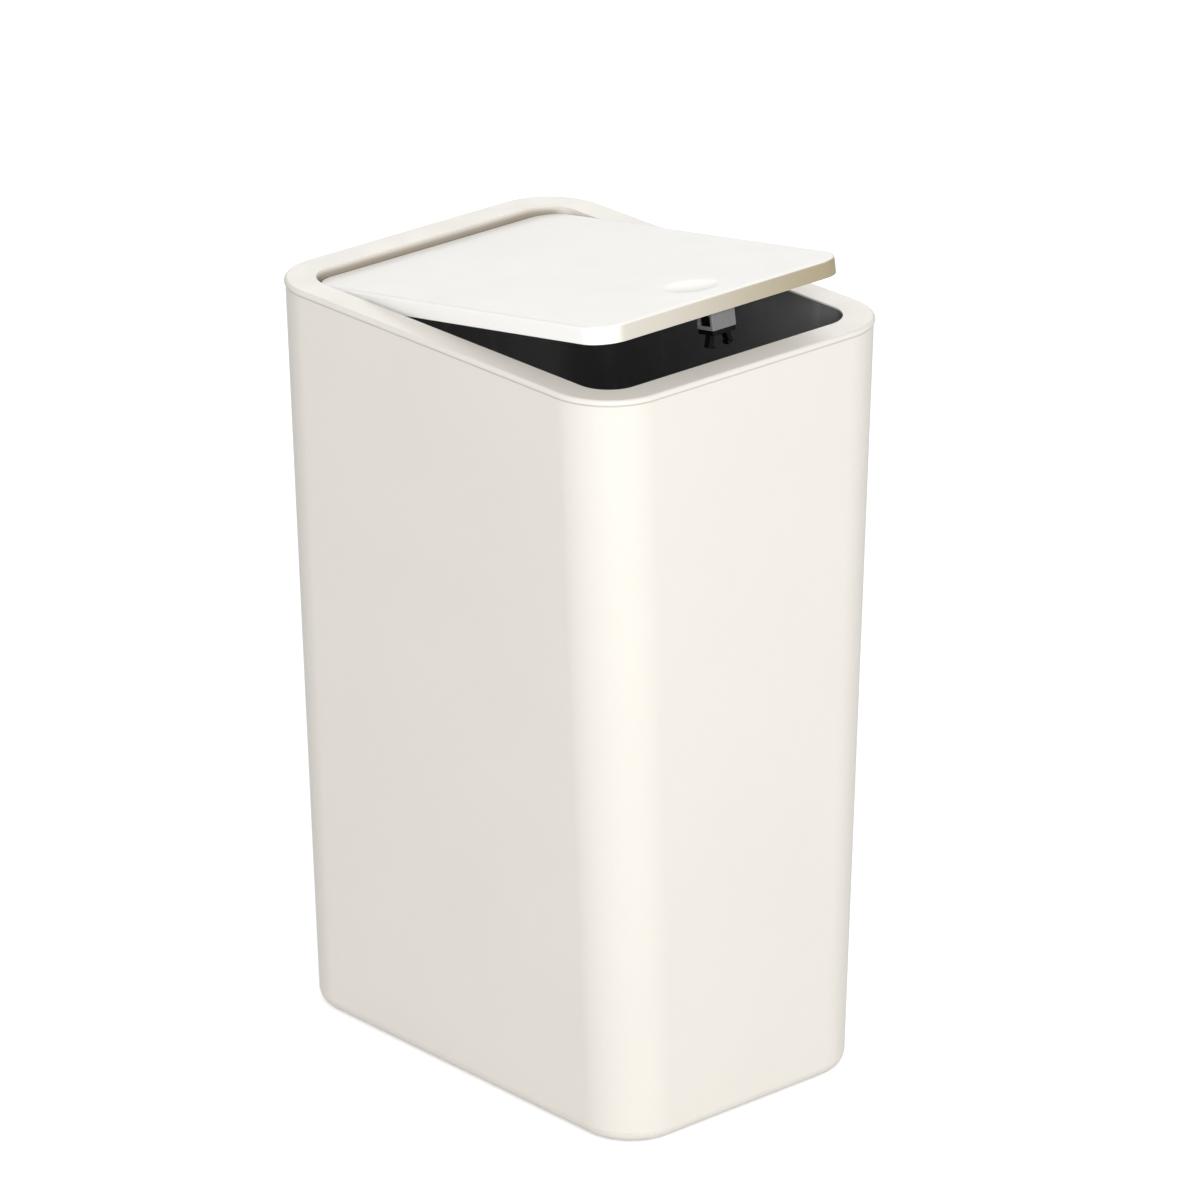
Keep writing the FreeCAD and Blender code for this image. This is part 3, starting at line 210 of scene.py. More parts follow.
    housing_width: length("Housing Width", "Width of the latch housing", 13.6)
    housing_wall: length("Housing Wall", "Thickness of the latch housing's walls", 0.9)
    housing_roof: length("Housing Roof", "Thickness of the latch housing's roof", 1.2)
    housing_round: length("Housing Corner", "Radius of the housing's upright corners", 0.8)
    flange_thickness: length("Flange", "Thickness of the housing's screwed flange", 1.6)
    flange_setback: length("Flange Setback", "Distance from the housing's front to the flange's", 2.5)
    flange_screw: length("Flange Screw", "Radius of the flange's screw holes", 1.65)
    window_width: length("Window Width", "Width of the housing's side windows", 7.4)
    window_sill: length("Window Sill", "Height of the sill below the windows", 1.7)
    window_height: length("Window Height", "Height of the housing's side windows", 4.7)
    slider_shoulder: length("Slider Shoulder", "Step between the slider's plate and its core", 0.7)
    slider_plate: length("Slider Plate", "Thickness of the slider's bottom plate", 1.8)
    slider_slot: length("Slider Slot", "Width of the slot between the jaws' ears", 4.0)
    slider_slot_height: length("Slider Slot Height", "Height of the slot for the jaws", 5.0)
    spring_bore: length("Spring Bore", "Radius of the slider's spring bore", 2.3)
    spring_bore_depth: length("Spring Bore Depth", "Depth of the slider's spring bore", 4.0)
    cam_groove: length("Cam Groove", "Depth of the groove in the slider's side", 0.9)
    cam_groove_width: length("Cam Groove Width", "Width of the groove in the slider's side", 1.2)
    jaw_pin: length("Jaw Pin", "Radius of the jaws' pins", 0.6)
    jaw_barrel: length("Jaw Barrel", "Radius of each jaw's eye", 1.4)
    jaw_side_gap: length("Jaw Side Gap", "Clearance of the jaws in the slot", 0.2)
    jaw_thickness: length("Jaw Thickness", "Thickness of each jaw", 2.2)
    jaw_hook_depth: length("Jaw Hook Depth", "Depth of the hooks' tops below the pins", 8.0)
    jaw_hook_height: length("Jaw Hook Height", "Height of each jaw's hook", 1.5)
    jaw_hook_reach: length("Jaw Hook Reach", "How far each hook reaches inwards", 0.9)

    camera_lens: bpy.props.FloatProperty(
        name="Camera Lens", description="Focal length of the studio camera",
        default=249.09, unit="CAMERA")
    camera_azimuth: angle("Camera Azimuth", "Direction of the camera round the bin", -41.62)
    camera_elevation: angle("Camera Elevation", "Height of the camera above the horizon", 22.09)
    camera_roll: angle("Camera Roll", "Turn of the camera about its own view", -0.10)
    camera_distance: length("Camera Distance", "Distance from the camera to its target", 3657.5)
    camera_right: length("Camera Right", "Step of the target to the right of the bin's middle", 9.33)
    camera_up: length("Camera Up", "Step of the target above the bin's middle", 30.2)


class BinColours(bpy.types.PropertyGroup):
    """Colours of the bin's materials."""

    casing: colour("Casing", "Ivory plastic of the casing", (0.768, 0.732, 0.672))
    rim: colour("Rim", "Ivory plastic of the rim frame", (0.762, 0.726, 0.665))
    lid: colour("Lid", "White plastic of the lid", (0.87, 0.855, 0.82))
    # Painted highlight: a whiter tone on the lid's side edges that stands in for light falling on them
    lid_side_highlight: colour("Lid Side", "Whiter tone of the lid's side edges", (0.96, 0.95, 0.93))
    # Painted shade: a dark brown laid on the rim's inner rear wall behind the lid, where shade falls
    painted_shade: colour("Dust", "Dust that gathers behind the lid", (0.25, 0.20, 0.14))
    # Painted shade: a tan on the lid's front edge that stands in for the shade it lies in
    lid_front_shade: colour("Lid Front", "Deeper tone of the lid's front edge", (0.36, 0.30, 0.19))
    liner: colour("Liner", "Matt plastic of the lid's liner", (0.66, 0.64, 0.58))
    bucket: colour("Bucket", "Charcoal plastic of the inner bucket", (0.19, 0.19, 0.192))
    housing: colour("Latch Housing", "Grey plastic of the latch housing", (0.17, 0.17, 0.175))
    jaws: colour("Latch Jaws", "Black plastic of the latch's ring, slider and jaws", (0.002, 0.002, 0.002))
    fibres: colour("Latch Fibres", "Fibres in the latch's black plastic", (0.006, 0.006, 0.0065))
    steel: colour("Steel", "Steel of pins, springs and screws", (0.55, 0.55, 0.56))
    rubber: colour("Foot Pads", "Rubber of the foot pads", (0.09, 0.09, 0.095))
    floor: colour("Floor", "Studio floor", (0.80, 0.80, 0.80))


def sizes():
    return bpy.context.scene.bin_sizes


def colours():
    return bpy.context.scene.bin_colours


# Materials
def wired(tree, kind, inputs=(), **settings):
    """Adds a shader node. Each input is set to a value, or joined to another node's output."""
    node = tree.nodes.new(kind)
    for name, value in settings.items():
        setattr(node, name, value)
    for name, value in dict(inputs).items():
        if isinstance(value, bpy.types.NodeSocket):
            tree.links.new(value, node.inputs[name])
        else:
            node.inputs[name].default_value = value
    return node


class Finish:
    """One surface finish under construction: a shader, and textures that vary it."""

    def __init__(self, name, tone, roughness, metallic=0.0):
        self.material = bpy.data.materials.new(name)
        self.material.use_nodes = True
        self.tree = self.material.node_tree
        self.shader = self.tree.nodes["Principled BSDF"]
        self.shader.inputs["Base Color"].default_value = (*tone, 1)
        self.shader.inputs["Roughness"].default_value = roughness
        self.shader.inputs["Metallic"].default_value = metallic
        self.place = self.add("ShaderNodeTexCoord").outputs
        self.plain = tone
        self.tone = (*tone, 1)
        self.normal = None

    def add(self, kind, inputs=(), **settings):
        return wired(self.tree, kind, inputs, **settings)

    def noise(self, per_metre, detail, stretch=(1, 1, 1)):
        """Cloudy noise with a number of features per metre, drawn out along some axes."""
        place = self.add("ShaderNodeMapping", {"Vector": self.place["Object"], "Scale": stretch})
        inputs = {"Vector": place.outputs["Vector"], "Scale": per_metre, "Detail": detail}
        return self.add("ShaderNodeTexNoise", inputs).outputs["Fac"]

    def cells(self, per_metre):
        """Distance to the nearest of a crowd of points, for pits and beads."""
        inputs = {"Vector": self.place["Object"], "Scale": per_metre}
        return self.add("ShaderNodeTexVoronoi", inputs).outputs["Distance"]

    def spread(self, value, low, high, start=0.3, end=0.7):
        """Stretches a value's range from start..end to low..high."""
        inputs = {"Value": value, "From Min": start, "From Max": end, "To Min": low, "To Max": high}
        return self.add("ShaderNodeMapRange", inputs, interpolation_type="SMOOTHSTEP").outputs["Result"]

    def facing(self, direction):
        """How squarely the surface faces a direction that turns with the piece."""
        inputs = {0: self.place["Normal"], 1: direction}
        return self.add("ShaderNodeVectorMath", inputs, operation="DOT_PRODUCT").outputs["Value"]

    def along(self, axis):
        """The place along one of the piece's axes, in metres."""
        return self.add("ShaderNodeSeparateXYZ", {0: self.place["Object"]}).outputs[axis]

    def product(self, first, second):
        return self.add("ShaderNodeMath", {0: first, 1: second}, operation="MULTIPLY").outputs[0]

    def shade(self, value, tone):
        """Blends the colour towards a tone by a value from 0 to 1."""
        share, before, after, result = 0, 6, 7, 2
        inputs = {share: value, before: self.tone, after: (*tone, 1)}
        self.tone = self.add("ShaderNodeMix", inputs, data_type="RGBA").outputs[result]
        self.tree.links.new(self.tone, self.shader.inputs["Base Color"])
        return self

    def cloud(self, factor, share, per_metre, detail, stretch=(1, 1, 1), start=0.3, end=0.7):
        """Blends in clouds of the plain colour times a factor, at most by a share."""
        clouds = self.spread(self.noise(per_metre, detail, stretch), 0, share, start, end)
        return self.shade(clouds, tinted(self.plain, factor))

    def gloss(self, low, high, per_metre, detail, stretch=(1, 1, 1)):
        """Varies the roughness between two bounds."""
        roughness = self.spread(self.noise(per_metre, detail, stretch), low, high)
        self.tree.links.new(roughness, self.shader.inputs["Roughness"])
        return self

    def relief(self, value, strength, depth):
        """Adds a fine relief on top of the ones before it. The depth is in metres."""
        inputs = {"Height": value, "Strength": strength, "Distance": depth}
        if self.normal is not None:
            inputs["Normal"] = self.normal
        self.normal = self.add("ShaderNodeBump", inputs).outputs["Normal"]
        self.tree.links.new(self.normal, self.shader.inputs["Normal"])
        return self


def tinted(tone, factor):
    return tuple(min(1.0, channel * factor) for channel in tone)


def moulded(name, tone, low, high, grain):
    """Smooth injection-moulded plastic: faint clouding, uneven gloss and a fine grain."""
    finish = Finish(name, tone, roughness=(low + high) / 2)
    finish.shader.inputs["IOR"].default_value = 1.5
    finish.cloud(factor=0.965, share=0.5, per_metre=14, detail=3)
    finish.cloud(factor=1.03, share=0.25, per_metre=900, detail=1)
    finish.gloss(low, high, per_metre=55, detail=4)
    finish.relief(finish.noise(per_metre=18, detail=1), strength=0.25, depth=0.00025)
    return finish.relief(finish.noise(per_metre=2600, detail=2), strength=grain, depth=0.00003)


def casing_plastic(name):
    """Ivory plastic with a painted shadow line along the seam under the rim."""
    finish = moulded(name, colours().casing, low=0.30, high=0.38, grain=0.35)
    # Painted shadow: the casing's top edge under the rim's overhang is darkened to a thin line
    seam = SHELL[1].z - sizes().seam
    painted_shade = finish.spread(finish.along("Z"), 0, 1, start=seam - sizes().seam, end=seam)
    return finish.shade(painted_shade, tinted(colours().casing, 0.72))


def frame_plastic(name):
    """Ivory plastic with painted shade on the inner rear wall behind the lid's rear edge, darkest lowest down."""
    finish = moulded(name, colours().rim, low=0.30, high=0.38, grain=0.35)
    top = RIM[1].z
    # Painted shade: darkens the forward-facing inner wall behind the hinge, more towards the bottom
    behind = finish.spread(finish.along("Y"), 0, 0.75, start=HINGE.y, end=LID[1].y)
    deep = finish.spread(finish.along("Z"), 1, 0, start=top - sizes().rim_round * 2, end=top)
    forward = finish.spread(finish.facing((0, -1, 0)), 0, 1)
    return finish.shade(finish.product(finish.product(behind, deep), forward), colours().painted_shade)


def lid_plastic(name):
    """White plastic with painted shade on its front edge, deepest at its right end, and painted highlights on its
    side edges.
    """
    finish = moulded(name, colours().lid, low=0.30, high=0.37, grain=0.3)
    # Painted shade: the forward-facing edge is tinted tan, more so towards the right end
    forward = lid_frame().to_3x3() @ Vector((0.35, -1, 0)).normalized()
    front = finish.spread(finish.facing(forward), 0, 1, start=0.74, end=0.93)
    rightwards = finish.spread(finish.along("X"), 0.45, 1, start=LID[0].x, end=LID[1].x)
    finish.shade(finish.product(front, rightwards), colours().lid_front_shade)
    # Painted highlight: the side edges facing either way are lightened
    for way in (-1, 1):
        edge = finish.spread(finish.facing((way, 0, 0)), 0, 1, start=0.6, end=0.95)
        finish.shade(edge, colours().lid_side_highlight)
    return finish


def liner_plastic(name):
    """Matt plastic with a plain grain."""
    return moulded(name, colours().liner, low=0.46, high=0.58, grain=0.9)


def bucket_plastic(name):
    """Charcoal plastic with a spark-eroded grain, and faint upright rubs from bin bags."""
    finish = Finish(name, colours().bucket, roughness=0.42)
    finish.shader.inputs["IOR"].default_value = 1.5
    finish.cloud(factor=0.72, share=0.6, per_metre=30, detail=4)
    finish.cloud(factor=1.8, share=0.35, per_metre=120, detail=5, stretch=(1, 1, 0.08),
                 start=0.52, end=0.75)
    finish.gloss(low=0.34, high=0.48, per_metre=90, detail=5, stretch=(1, 1, 0.15))
    return finish.relief(finish.noise(per_metre=1700, detail=3), strength=0.5, depth=0.00006)


def latch_grey(name):
    """Grey engineering plastic with faint flow lines from the mould."""
    finish = Finish(name, colours().housing, roughness=0.4)
    finish.cloud(factor=0.86, share=0.5, per_metre=260, detail=3, stretch=(1, 1, 0.25))
    finish.cloud(factor=1.2, share=0.3, per_metre=3200, detail=1, start=0.5, end=0.8)
    finish.gloss(low=0.36, high=0.5, per_metre=500, detail=3)
    return finish.relief(finish.noise(per_metre=4200, detail=2), strength=0.4, depth=0.00002)


def latch_black(name):
    """Black glass-filled nylon: short light fibres just under a satin skin."""
    finish = Finish(name, colours().jaws, roughness=0.42)
    finish.shader.inputs["Specular IOR Level"].default_value = 0.12
    streaks = finish.noise(per_metre=2400, detail=2, stretch=(1, 1, 6))
    finish.shade(finish.spread(streaks, 0, 0.4, start=0.6, end=0.8), colours().fibres)
    finish.gloss(low=0.36, high=0.55, per_metre=900, detail=3)
    return finish.relief(finish.noise(per_metre=5200, detail=2), strength=0.4, depth=0.00002)


def steel(name):
    """Drawn wire and turned steel: fine lines round and along, and a little dulling."""
    finish = Finish(name, colours().steel, roughness=0.3, metallic=1.0)
    finish.shader.inputs["Anisotropic"].default_value = 0.4
    finish.cloud(factor=0.78, share=0.6, per_metre=420, detail=4)
    finish.gloss(low=0.22, high=0.42, per_metre=1500, detail=4, stretch=(0.2, 1, 1))
    lines = finish.noise(per_metre=6000, detail=1, stretch=(0.1, 1, 1))
    return finish.relief(lines, strength=0.25, depth=0.00001)


def pad_rubber(name):
    """Soft grey rubber, pitted, with a little lighter dirt in the pits."""
    finish = Finish(name, colours().rubber, roughness=0.75)
    finish.cloud(factor=1.7, share=0.5, per_metre=700, detail=4)
    finish.gloss(low=0.62, high=0.85, per_metre=350, detail=3)
    finish.relief(finish.cells(per_metre=1800), strength=0.35, depth=0.00008)
    return finish.relief(finish.noise(per_metre=3800, detail=2), strength=0.5, depth=0.00003)


FINISHES = {maker.__name__: maker for maker in (
    casing_plastic, frame_plastic, lid_plastic, liner_plastic, bucket_plastic, latch_grey, latch_black,
    steel, pad_rubber)}


def finish_of(slot):
    """The material of one of the record's slots, made when it is first needed."""
    name = f"bin_{slot}"
    return bpy.data.materials.get(name) or FINISHES[slot](name).material


# Shapes
def rounded(sides, z, step=0.0):
    """Points of a level rectangle with round corners, counter-clockwise from its +X side.

    Its sides are (half width, half depth, corner radius), and a step puts all of them further out.
    """
    half_x, half_y, radius = grown(sides, step)
    points = []
    for quarter, (sign_x, sign_y) in enumerate(((1, 1), (-1, 1), (-1, -1), (1, -1))):
        middle = Vector((sign_x * (half_x - radius), sign_y * (half_y - radius), z))
        for part in range(CORNER_STEPS + 1):
            around = math.pi / 2 * (quarter + part / CORNER_STEPS)
            points.append(middle + Vector((math.cos(around), math.sin(around), 0)) * radius)
    return points


def grown(sides, step):
    """A rectangle's half sizes and corner radius once every side is a step further out."""
    return [side + step for side in sides]


def between(low, high, share):
    """Sizes, or a place, at a share of the way from low to high."""
    return [one + (two - one) * share for one, two in zip(low, high)]


def opening_sides():
    """Half sizes and corner radius of the opening in the rim."""
    return [SHELL[1].x - sizes().rim_width, SHELL[1].y - sizes().rim_width, sizes().opening_corner]


def circle(x, y, radius, z):
    """Points of a level circle, as many as rounded() gives and in step with them."""
    count = 4 * (CORNER_STEPS + 1)
    points = []
    for index in range(count):
        around = math.pi / 4 + 2 * math.pi * (index - CORNER_STEPS / 2) / count
        points.append(Vector((x + radius * math.cos(around), y + radius * math.sin(around), z)))
    return points


def arc(middle, radius, start, end, steps=EDGE_STEPS):
    """Points (across, up) of an arc between two angles in degrees."""
    angles = [math.radians(start + (end - start) * step / steps) for step in range(steps + 1)]
    return [(middle[0] + radius * math.cos(one), middle[1] + radius * math.sin(one)) for one in angles]


def loft(mesh, outlines, closed=False):
    """Joins outlines of equal counts by faces. An open loft gets flat ends."""
    rings = [[mesh.verts.new(point) for point in outline] for outline in outlines]
    pairs = list(zip(rings, rings[1:]))
    if closed:
        pairs.append((rings[-1], rings[0]))
    for one, two in pairs:
        for index in range(len(one)):
            after = (index + 1) % len(one)
            mesh.faces.new((one[index], one[after], two[after], two[index]))
    if not closed:
        mesh.faces.new(rings[0][::-1])
        mesh.faces.new(rings[-1])


AXES = {
    "X": lambda along, across, up: Vector((along, across, up)),
    "Y": lambda along, across, up: Vector((across, along, up)),
    "Z": lambda along, across, up: Vector((across, up, along)),
}


def prism(mesh, axis, outline, low, high, soft=0.0):
    """A straight bar along an axis. Its outline is (across, up) points, and its edges are softened."""
    bar = bmesh.new()
    place = AXES[axis]
    loft(bar, [[place(along, *point) for point in outline] for along in (low, high)])
    bmesh.ops.recalc_face_normals(bar, faces=bar.faces)
    if soft:
        sharp = [edge for edge in bar.edges if edge.calc_face_angle(0) > SOFTENED_TURN]
        bmesh.ops.bevel(bar, geom=sharp, offset=soft, offset_type="OFFSET", segments=3,
                        profile=0.5, affect="EDGES", clamp_overlap=True)
    data = bpy.data.meshes.new("bar")
    bar.to_mesh(data)
    bar.free()
    mesh.from_mesh(data)
    bpy.data.meshes.remove(data)


def block(mesh, low, high, soft=0.0):
    """A box between two corners with softened edges."""
    (x, y, z), (far_x, far_y, far_z) = low, high
    prism(mesh, "Z", [(x, y), (far_x, y), (far_x, far_y), (x, far_y)], z, far_z, soft)


def ring_points(middle, radius):
    """Points (across, up) of a hinge boss's circle."""
    return arc(middle, radius, 0, 360, BOSS_STEPS)[:-1]


def divided(corners, steps):
    """The outline through some corners, each of its sides cut into equal steps."""
    points = []
    for corner, following in zip(corners, corners[1:] + corners[:1]):
        points += [between(corner, following, step / steps) for step in range(steps)]
    return points


def bored(outline, middle, radius):
    """Points of a round hole, one straight inwards of each of the outline's points."""
    points = []
    for point in outline:
        points.append(between(middle, point, radius / math.dist(middle, point)))
    return points


def sleeve(mesh, axis, outer, inner, low, high):
    """A bar along an axis with a bore. Outer and inner are outlines of equal counts."""
    place = AXES[axis]
    outlines = [(outer, low), (outer, high), (inner, high), (inner, low)]
    loft(mesh, [[place(along, *point) for point in outline] for outline, along in outlines], closed=True)


def linked(name, mesh):
    """Makes an object of a finished mesh."""
    bmesh.ops.recalc_face_normals(mesh, faces=mesh.faces)
    data = bpy.data.meshes.new(name)
    mesh.to_mesh(data)
    mesh.free()
    item = bpy.data.objects.new(name, data)
    bpy.context.scene.collection.objects.link(item)
    return item


def carve(item, fill):
    """Cuts away from an object what the fill function draws."""
    mesh = bmesh.new()
    fill(mesh)
    cutter = linked("cutter", mesh)
    step = item.modifiers.new("carve", "BOOLEAN")
    step.object = cutter
    step.solver = "EXACT"
    bpy.context.view_layer.update()
    graph = bpy.context.evaluated_depsgraph_get()
    result = bpy.data.meshes.new_from_object(item.evaluated_get(graph))
    before = item.data
    if len(result.vertices) == len(before.vertices):
        raise RuntimeError(f"{item.name} is not cut")
    item.modifiers.clear()
    item.data = result
    result.name = item.name
    bpy.data.meshes.remove(before)
    bpy.data.objects.remove(cutter)


def dress(item, body, slot, *nodes):
    """Finishes a moulding: smooth shading, its material, its body, and the nodes that it replaces."""
    item.data.polygons.foreach_set("use_smooth", [True] * len(item.data.polygons))
    item.data.set_sharp_from_angle(angle=SHARP_TURN)
    even = item.modifiers.new("even_shading", "WEIGHTED_NORMAL")
    even.keep_sharp = True
    item.data.materials.clear()
    item.data.materials.append(finish_of(slot))
    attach(item, body)
    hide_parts(*nodes)
    return item


def tub(low, high, base, top, edge):
    """Outlines of a tapering tub, from the flat of its floor up over the round lower edge."""
    outlines = []
    for across, up in arc((0, 0), edge, -90, 0, EDGE_STEPS * 2)[:-1]:
        outlines.append(rounded(base, low + edge + up, across - edge))
    sides = between(base, top, edge / (high - low))
    return [*outlines, rounded(sides, low + edge), rounded(top, high)]


# Pieces
class BIN_OT_casing(bpy.types.Operator):
    """Adds the tapering casing with its pad recesses"""

    bl_idname = "waste_bin.casing"
    bl_label = "Casing"

    def execute(self, context):
        s = sizes()
        low, high = SHELL
        top = (high.x, high.y, s.shell_corner)
        base = (high.x - s.shell_side_taper, high.y - s.shell_end_taper, s.shell_base_corner)
        seam = s.seam
        outside = tub(low.z, high.z - seam, base, top, s.shell_base_round)
        for across, up in arc((-seam, -seam), seam, 0, 90, SEAM_STEPS)[1:]:
            outside.append(rounded(top, high.z + up, across))
        wall = s.shell_wall
        inside = tub(low.z + s.shell_floor, high.z, grown(base, -wall), grown(top, -wall),
                     s.shell_base_round - wall)
        mesh = bmesh.new()
        loft(mesh, outside + inside[::-1])
        casing = linked("casing", mesh)
        x, y = base[0] - s.pad_inset, base[1] - s.pad_inset

        def recesses(cutter):
            for side_x in (-x, x):
                for side_y in (-y, y):
                    loft(cutter, [circle(side_x, side_y, s.pad_radius, z) for z in (-low.z, PADS[1].z)])

        carve(casing, recesses)
        dress(casing, "casing", "casing_plastic", "outer_shell")
        return {"FINISHED"}


class BIN_OT_bucket(bpy.types.Operator):
    """Adds the charcoal inner bucket"""

    bl_idname = "waste_bin.bucket"
    bl_label = "Inner Bucket"

    def execute(self, context):
        s = sizes()
        low, high = BUCKET[0].z, BUCKET[1].z
        rim_top = RIM[1].z
        wall = s.bucket_wall
        mouth = grown(opening_sides(), s.bucket_edge_gap)
        top = grown(mouth, wall)
        base_x = SHELL[1].x - s.shell_side_taper - s.shell_wall - s.bucket_side_gap
        base_y = SHELL[1].y - s.shell_end_taper - s.shell_wall - s.bucket_end_gap
        base = (base_x, base_y, s.bucket_base_corner)
        lip_top = rim_top - s.rim_thickness - s.bucket_lip_gap
        lip_low = lip_top - s.bucket_lip
        outside = tub(low, high, base, top, s.bucket_base_round)
        under = between(base, top, (lip_low - low) / (high - low))
        edge = grown(top, s.bucket_lip_width)
        soft = s.bucket_lip / 4
        lip = [rounded(under, lip_low), rounded(edge, lip_low, -soft), rounded(edge, lip_low + soft),
               rounded(edge, lip_top - soft), rounded(edge, lip_top, -soft), rounded(top, lip_top)]
        mouth_soft = wall / 4
        brim = [rounded(top, high - mouth_soft), rounded(top, high, -mouth_soft),
                rounded(mouth, high, mouth_soft)]
        inside = tub(low + s.bucket_floor, high - mouth_soft, grown(base, -wall), mouth,
                     s.bucket_base_round - wall)
        mesh = bmesh.new()
        loft(mesh, outside[:-1] + lip + brim + inside[::-1])
        bucket = linked("bucket", mesh)
        far_x, far_y = SHELL[1].x, SHELL[1].y
        half = s.tongue_width / 2 + s.front_notch_gap
        rear = HINGE.y - s.cradle_reach - s.rear_notch_gap
        rear_low = rim_top - s.cradle_depth - s.rear_notch_gap * 2
        front_low = RIM[0].z - s.front_notch_gap

        def notches(cutter):
            block(cutter, (-far_x, rear, rear_low), (far_x, far_y, rim_top))
            block(cutter, (-half, -far_y, front_low), (half, -far_y / 2, rim_top))

        carve(bucket, notches)
        dress(bucket, "casing", "bucket_plastic", "inner_bucket")
        return {"FINISHED"}


class BIN_OT_rim(bpy.types.Operator):
    """Adds the rim frame with its skirt, hinge cradle and striker tongue"""

    bl_idname = "waste_bin.rim"
    bl_label = "Rim Frame"

    def execute(self, context):
        s = sizes()
        top = RIM[1].z
        under = top - s.rim_thickness
        opening = opening_sides()
        outer = s.rim_width + s.rim_overhang
        skirt = s.rim_width - s.shell_wall - s.skirt_clearance
        skirt_low = under - s.skirt_depth
        inner = s.rim_inner_round
        soft = s.seam / 2
        section = arc((inner, top - inner), inner, 180, 90, SEAM_STEPS)
        section += arc((outer - s.rim_round, top - s.rim_round), s.rim_round, 90, 0)
        skirt_inside = skirt - s.skirt_wall
        section += [(outer, under + soft), (outer - soft, under), (skirt, under),
                    (skirt, skirt_low + soft), (skirt - soft, skirt_low),
                    (skirt_inside + soft, skirt_low), (skirt_inside, skirt_low + soft),
                    (skirt_inside, under), (s.lip_width, under), (s.lip_width, top - s.lip),
                    (0, top - s.lip)]
        mesh = bmesh.new()
        loft(mesh, [rounded(opening, up, across) for across, up in section], closed=True)
        self.cradle(mesh, s, opening, top)
        self.tongue(mesh, s, opening, under, skirt)
        for side in (-1, 1):
            self.hinge_side(mesh, s, opening, side)
        rim = linked("rim", mesh)
        dress(rim, "frame", "frame_plastic", "rim_frame")
        return {"FINISHED"}

    def cradle(self, mesh, s, opening, top):
        """The deep wall that runs round the back of the opening."""
        front = HINGE.y - s.cradle_reach

        def path(step):
            half_x, half_y, corner = grown(opening, step)
            points = [(half_x, front)]
            points += arc((half_x - corner, half_y - corner), corner, 0, 90, CORNER_STEPS)
            return points + [(-x, y) for x, y in points[::-1]]

        outline = path(s.cradle_wall) + path(0)[::-1]
        prism(mesh, "Z", outline, top - s.cradle_depth, top - s.lip, s.seam / 2)

    def tongue(self, mesh, s, opening, under, skirt):
        """The ribbed wall at the front that carries the striker."""
        face = -(opening[1] + s.tongue_gap)
        back = face - s.tongue_wall
        root = -(opening[1] + skirt - s.skirt_wall / 2)
        half, rib = s.tongue_width / 2, s.tongue_rib
        outline = [(-half, root), (rib - half, root), (rib - half, back), (half - rib, back),
                   (half - rib, root), (half, root), (half, face), (-half, face)]
        prism(mesh, "Z", outline, RIM[0].z, under, s.seam / 2)

    def hinge_side(self, mesh, s, opening, side):
        """The pin boss and the spring ledge on one side of the cradle."""
        middle = (HINGE.y, HINGE.z)
        near, far = opening[0] * side, (opening[0] + s.boss_length) * side
        soft = s.seam
        outer, inner = ring_points(middle, s.boss_radius), ring_points(middle, s.hinge_pin)
        narrow = ring_points(middle, s.boss_radius - soft)
        rings = [(outer, near), (outer, far - soft * side), (narrow, far), (inner, far), (inner, near)]
        loft(mesh, [[Vector((along, *point)) for point in ring] for ring, along in rings], closed=True)
        ends = sorted(((opening[0] - s.ledge_length) * side, (opening[0] + s.cradle_wall / 2) * side))
        top = HINGE.z - s.ledge_drop
        front = HINGE.y - s.ledge_setback - s.ledge_depth
        block(mesh, (ends[0], front, top - s.ledge_thickness), (ends[1], front + s.ledge_depth, top), soft)


class BIN_OT_lid(bpy.types.Operator):
    """Adds the lid's cover with its press hollow and hinge ears"""

    bl_idname = "waste_bin.lid"
    bl_label = "Lid"

    def execute(self, context):
        s = sizes()
        top, low = LID[1].z, LID[1].z - s.lid_thickness
        half_x, half_y = LID[1].x, -LID[0].y
        corner = s.opening_corner - s.lid_gap
        outline = (half_x, half_y, corner)
        wall, lower = s.lid_wall, s.lid_lower_round
        section = arc((-lower, low + lower), lower, -90, 0, SMALL_STEPS)
        section += arc((-s.lid_round, top - s.lid_round), s.lid_round, 0, 90, EDGE_STEPS * 2)
        rings = [rounded(outline, up, across) for across, up in section]
        dish_y = s.dish_setback - half_y
        radius, depth = s.dish_radius, s.dish_depth
        ball = (radius ** 2 + depth ** 2) / (2 * depth)
        rings.append(circle(0, dish_y, radius + s.dish_edge, top))
        for step in range(DISH_STEPS):
            reach = (radius - s.dish_edge / 2) * (1 - step / DISH_STEPS)
            rings.append(circle(0, dish_y, reach, top + ball - depth - math.sqrt(ball ** 2 - reach ** 2)))
        under = top - wall
        inner = [rounded(outline, z, -wall) for z in (low, under)]
        mesh = bmesh.new()
        loft(mesh, rings[::-1] + inner)
        for side in (-1, 1):
            self.ear(mesh, s, half_x, under, side)
        lid = linked("lid", mesh)
        lid.data.transform(lid_frame())
        dress(lid, "lid", "lid_plastic", "lid_cover")
        return {"FINISHED"}

    def ear(self, mesh, s, half_x, top, side):
        """One hinge ear: round below, square where it meets the cover, bored for the dowel."""
        half = s.ear_width / 2
        middle = (HINGE.y, HINGE.z)
        outer = arc(middle, half, 180, 360, EAR_STEPS)
        outer += [(HINGE.y + half * (1 - 2 * step / EAR_STEPS), top) for step in range(1, EAR_STEPS)]
        ends = sorted(((half_x - s.ear_inset) * side, (half_x - s.ear_inset - s.ear_thickness) * side))
        sleeve(mesh, "X", outer, bored(outer, middle, s.hinge_pin), *ends)


def upright(sides, z, step=0.0):
    """Points of a level rectangle about the latch's middle."""
    return [point + Vector((0, LATCH_Y, 0)) for point in rounded(sides, z, step)]


def column(mesh, sides, soft, low, high):
    """An upright block about the latch's middle, with a softened lower edge."""
    edge = arc((-soft, low + soft), soft, -90, 0, SMALL_STEPS)
    loft(mesh, [upright(sides, up, across) for across, up in [*edge, (0, high)]])


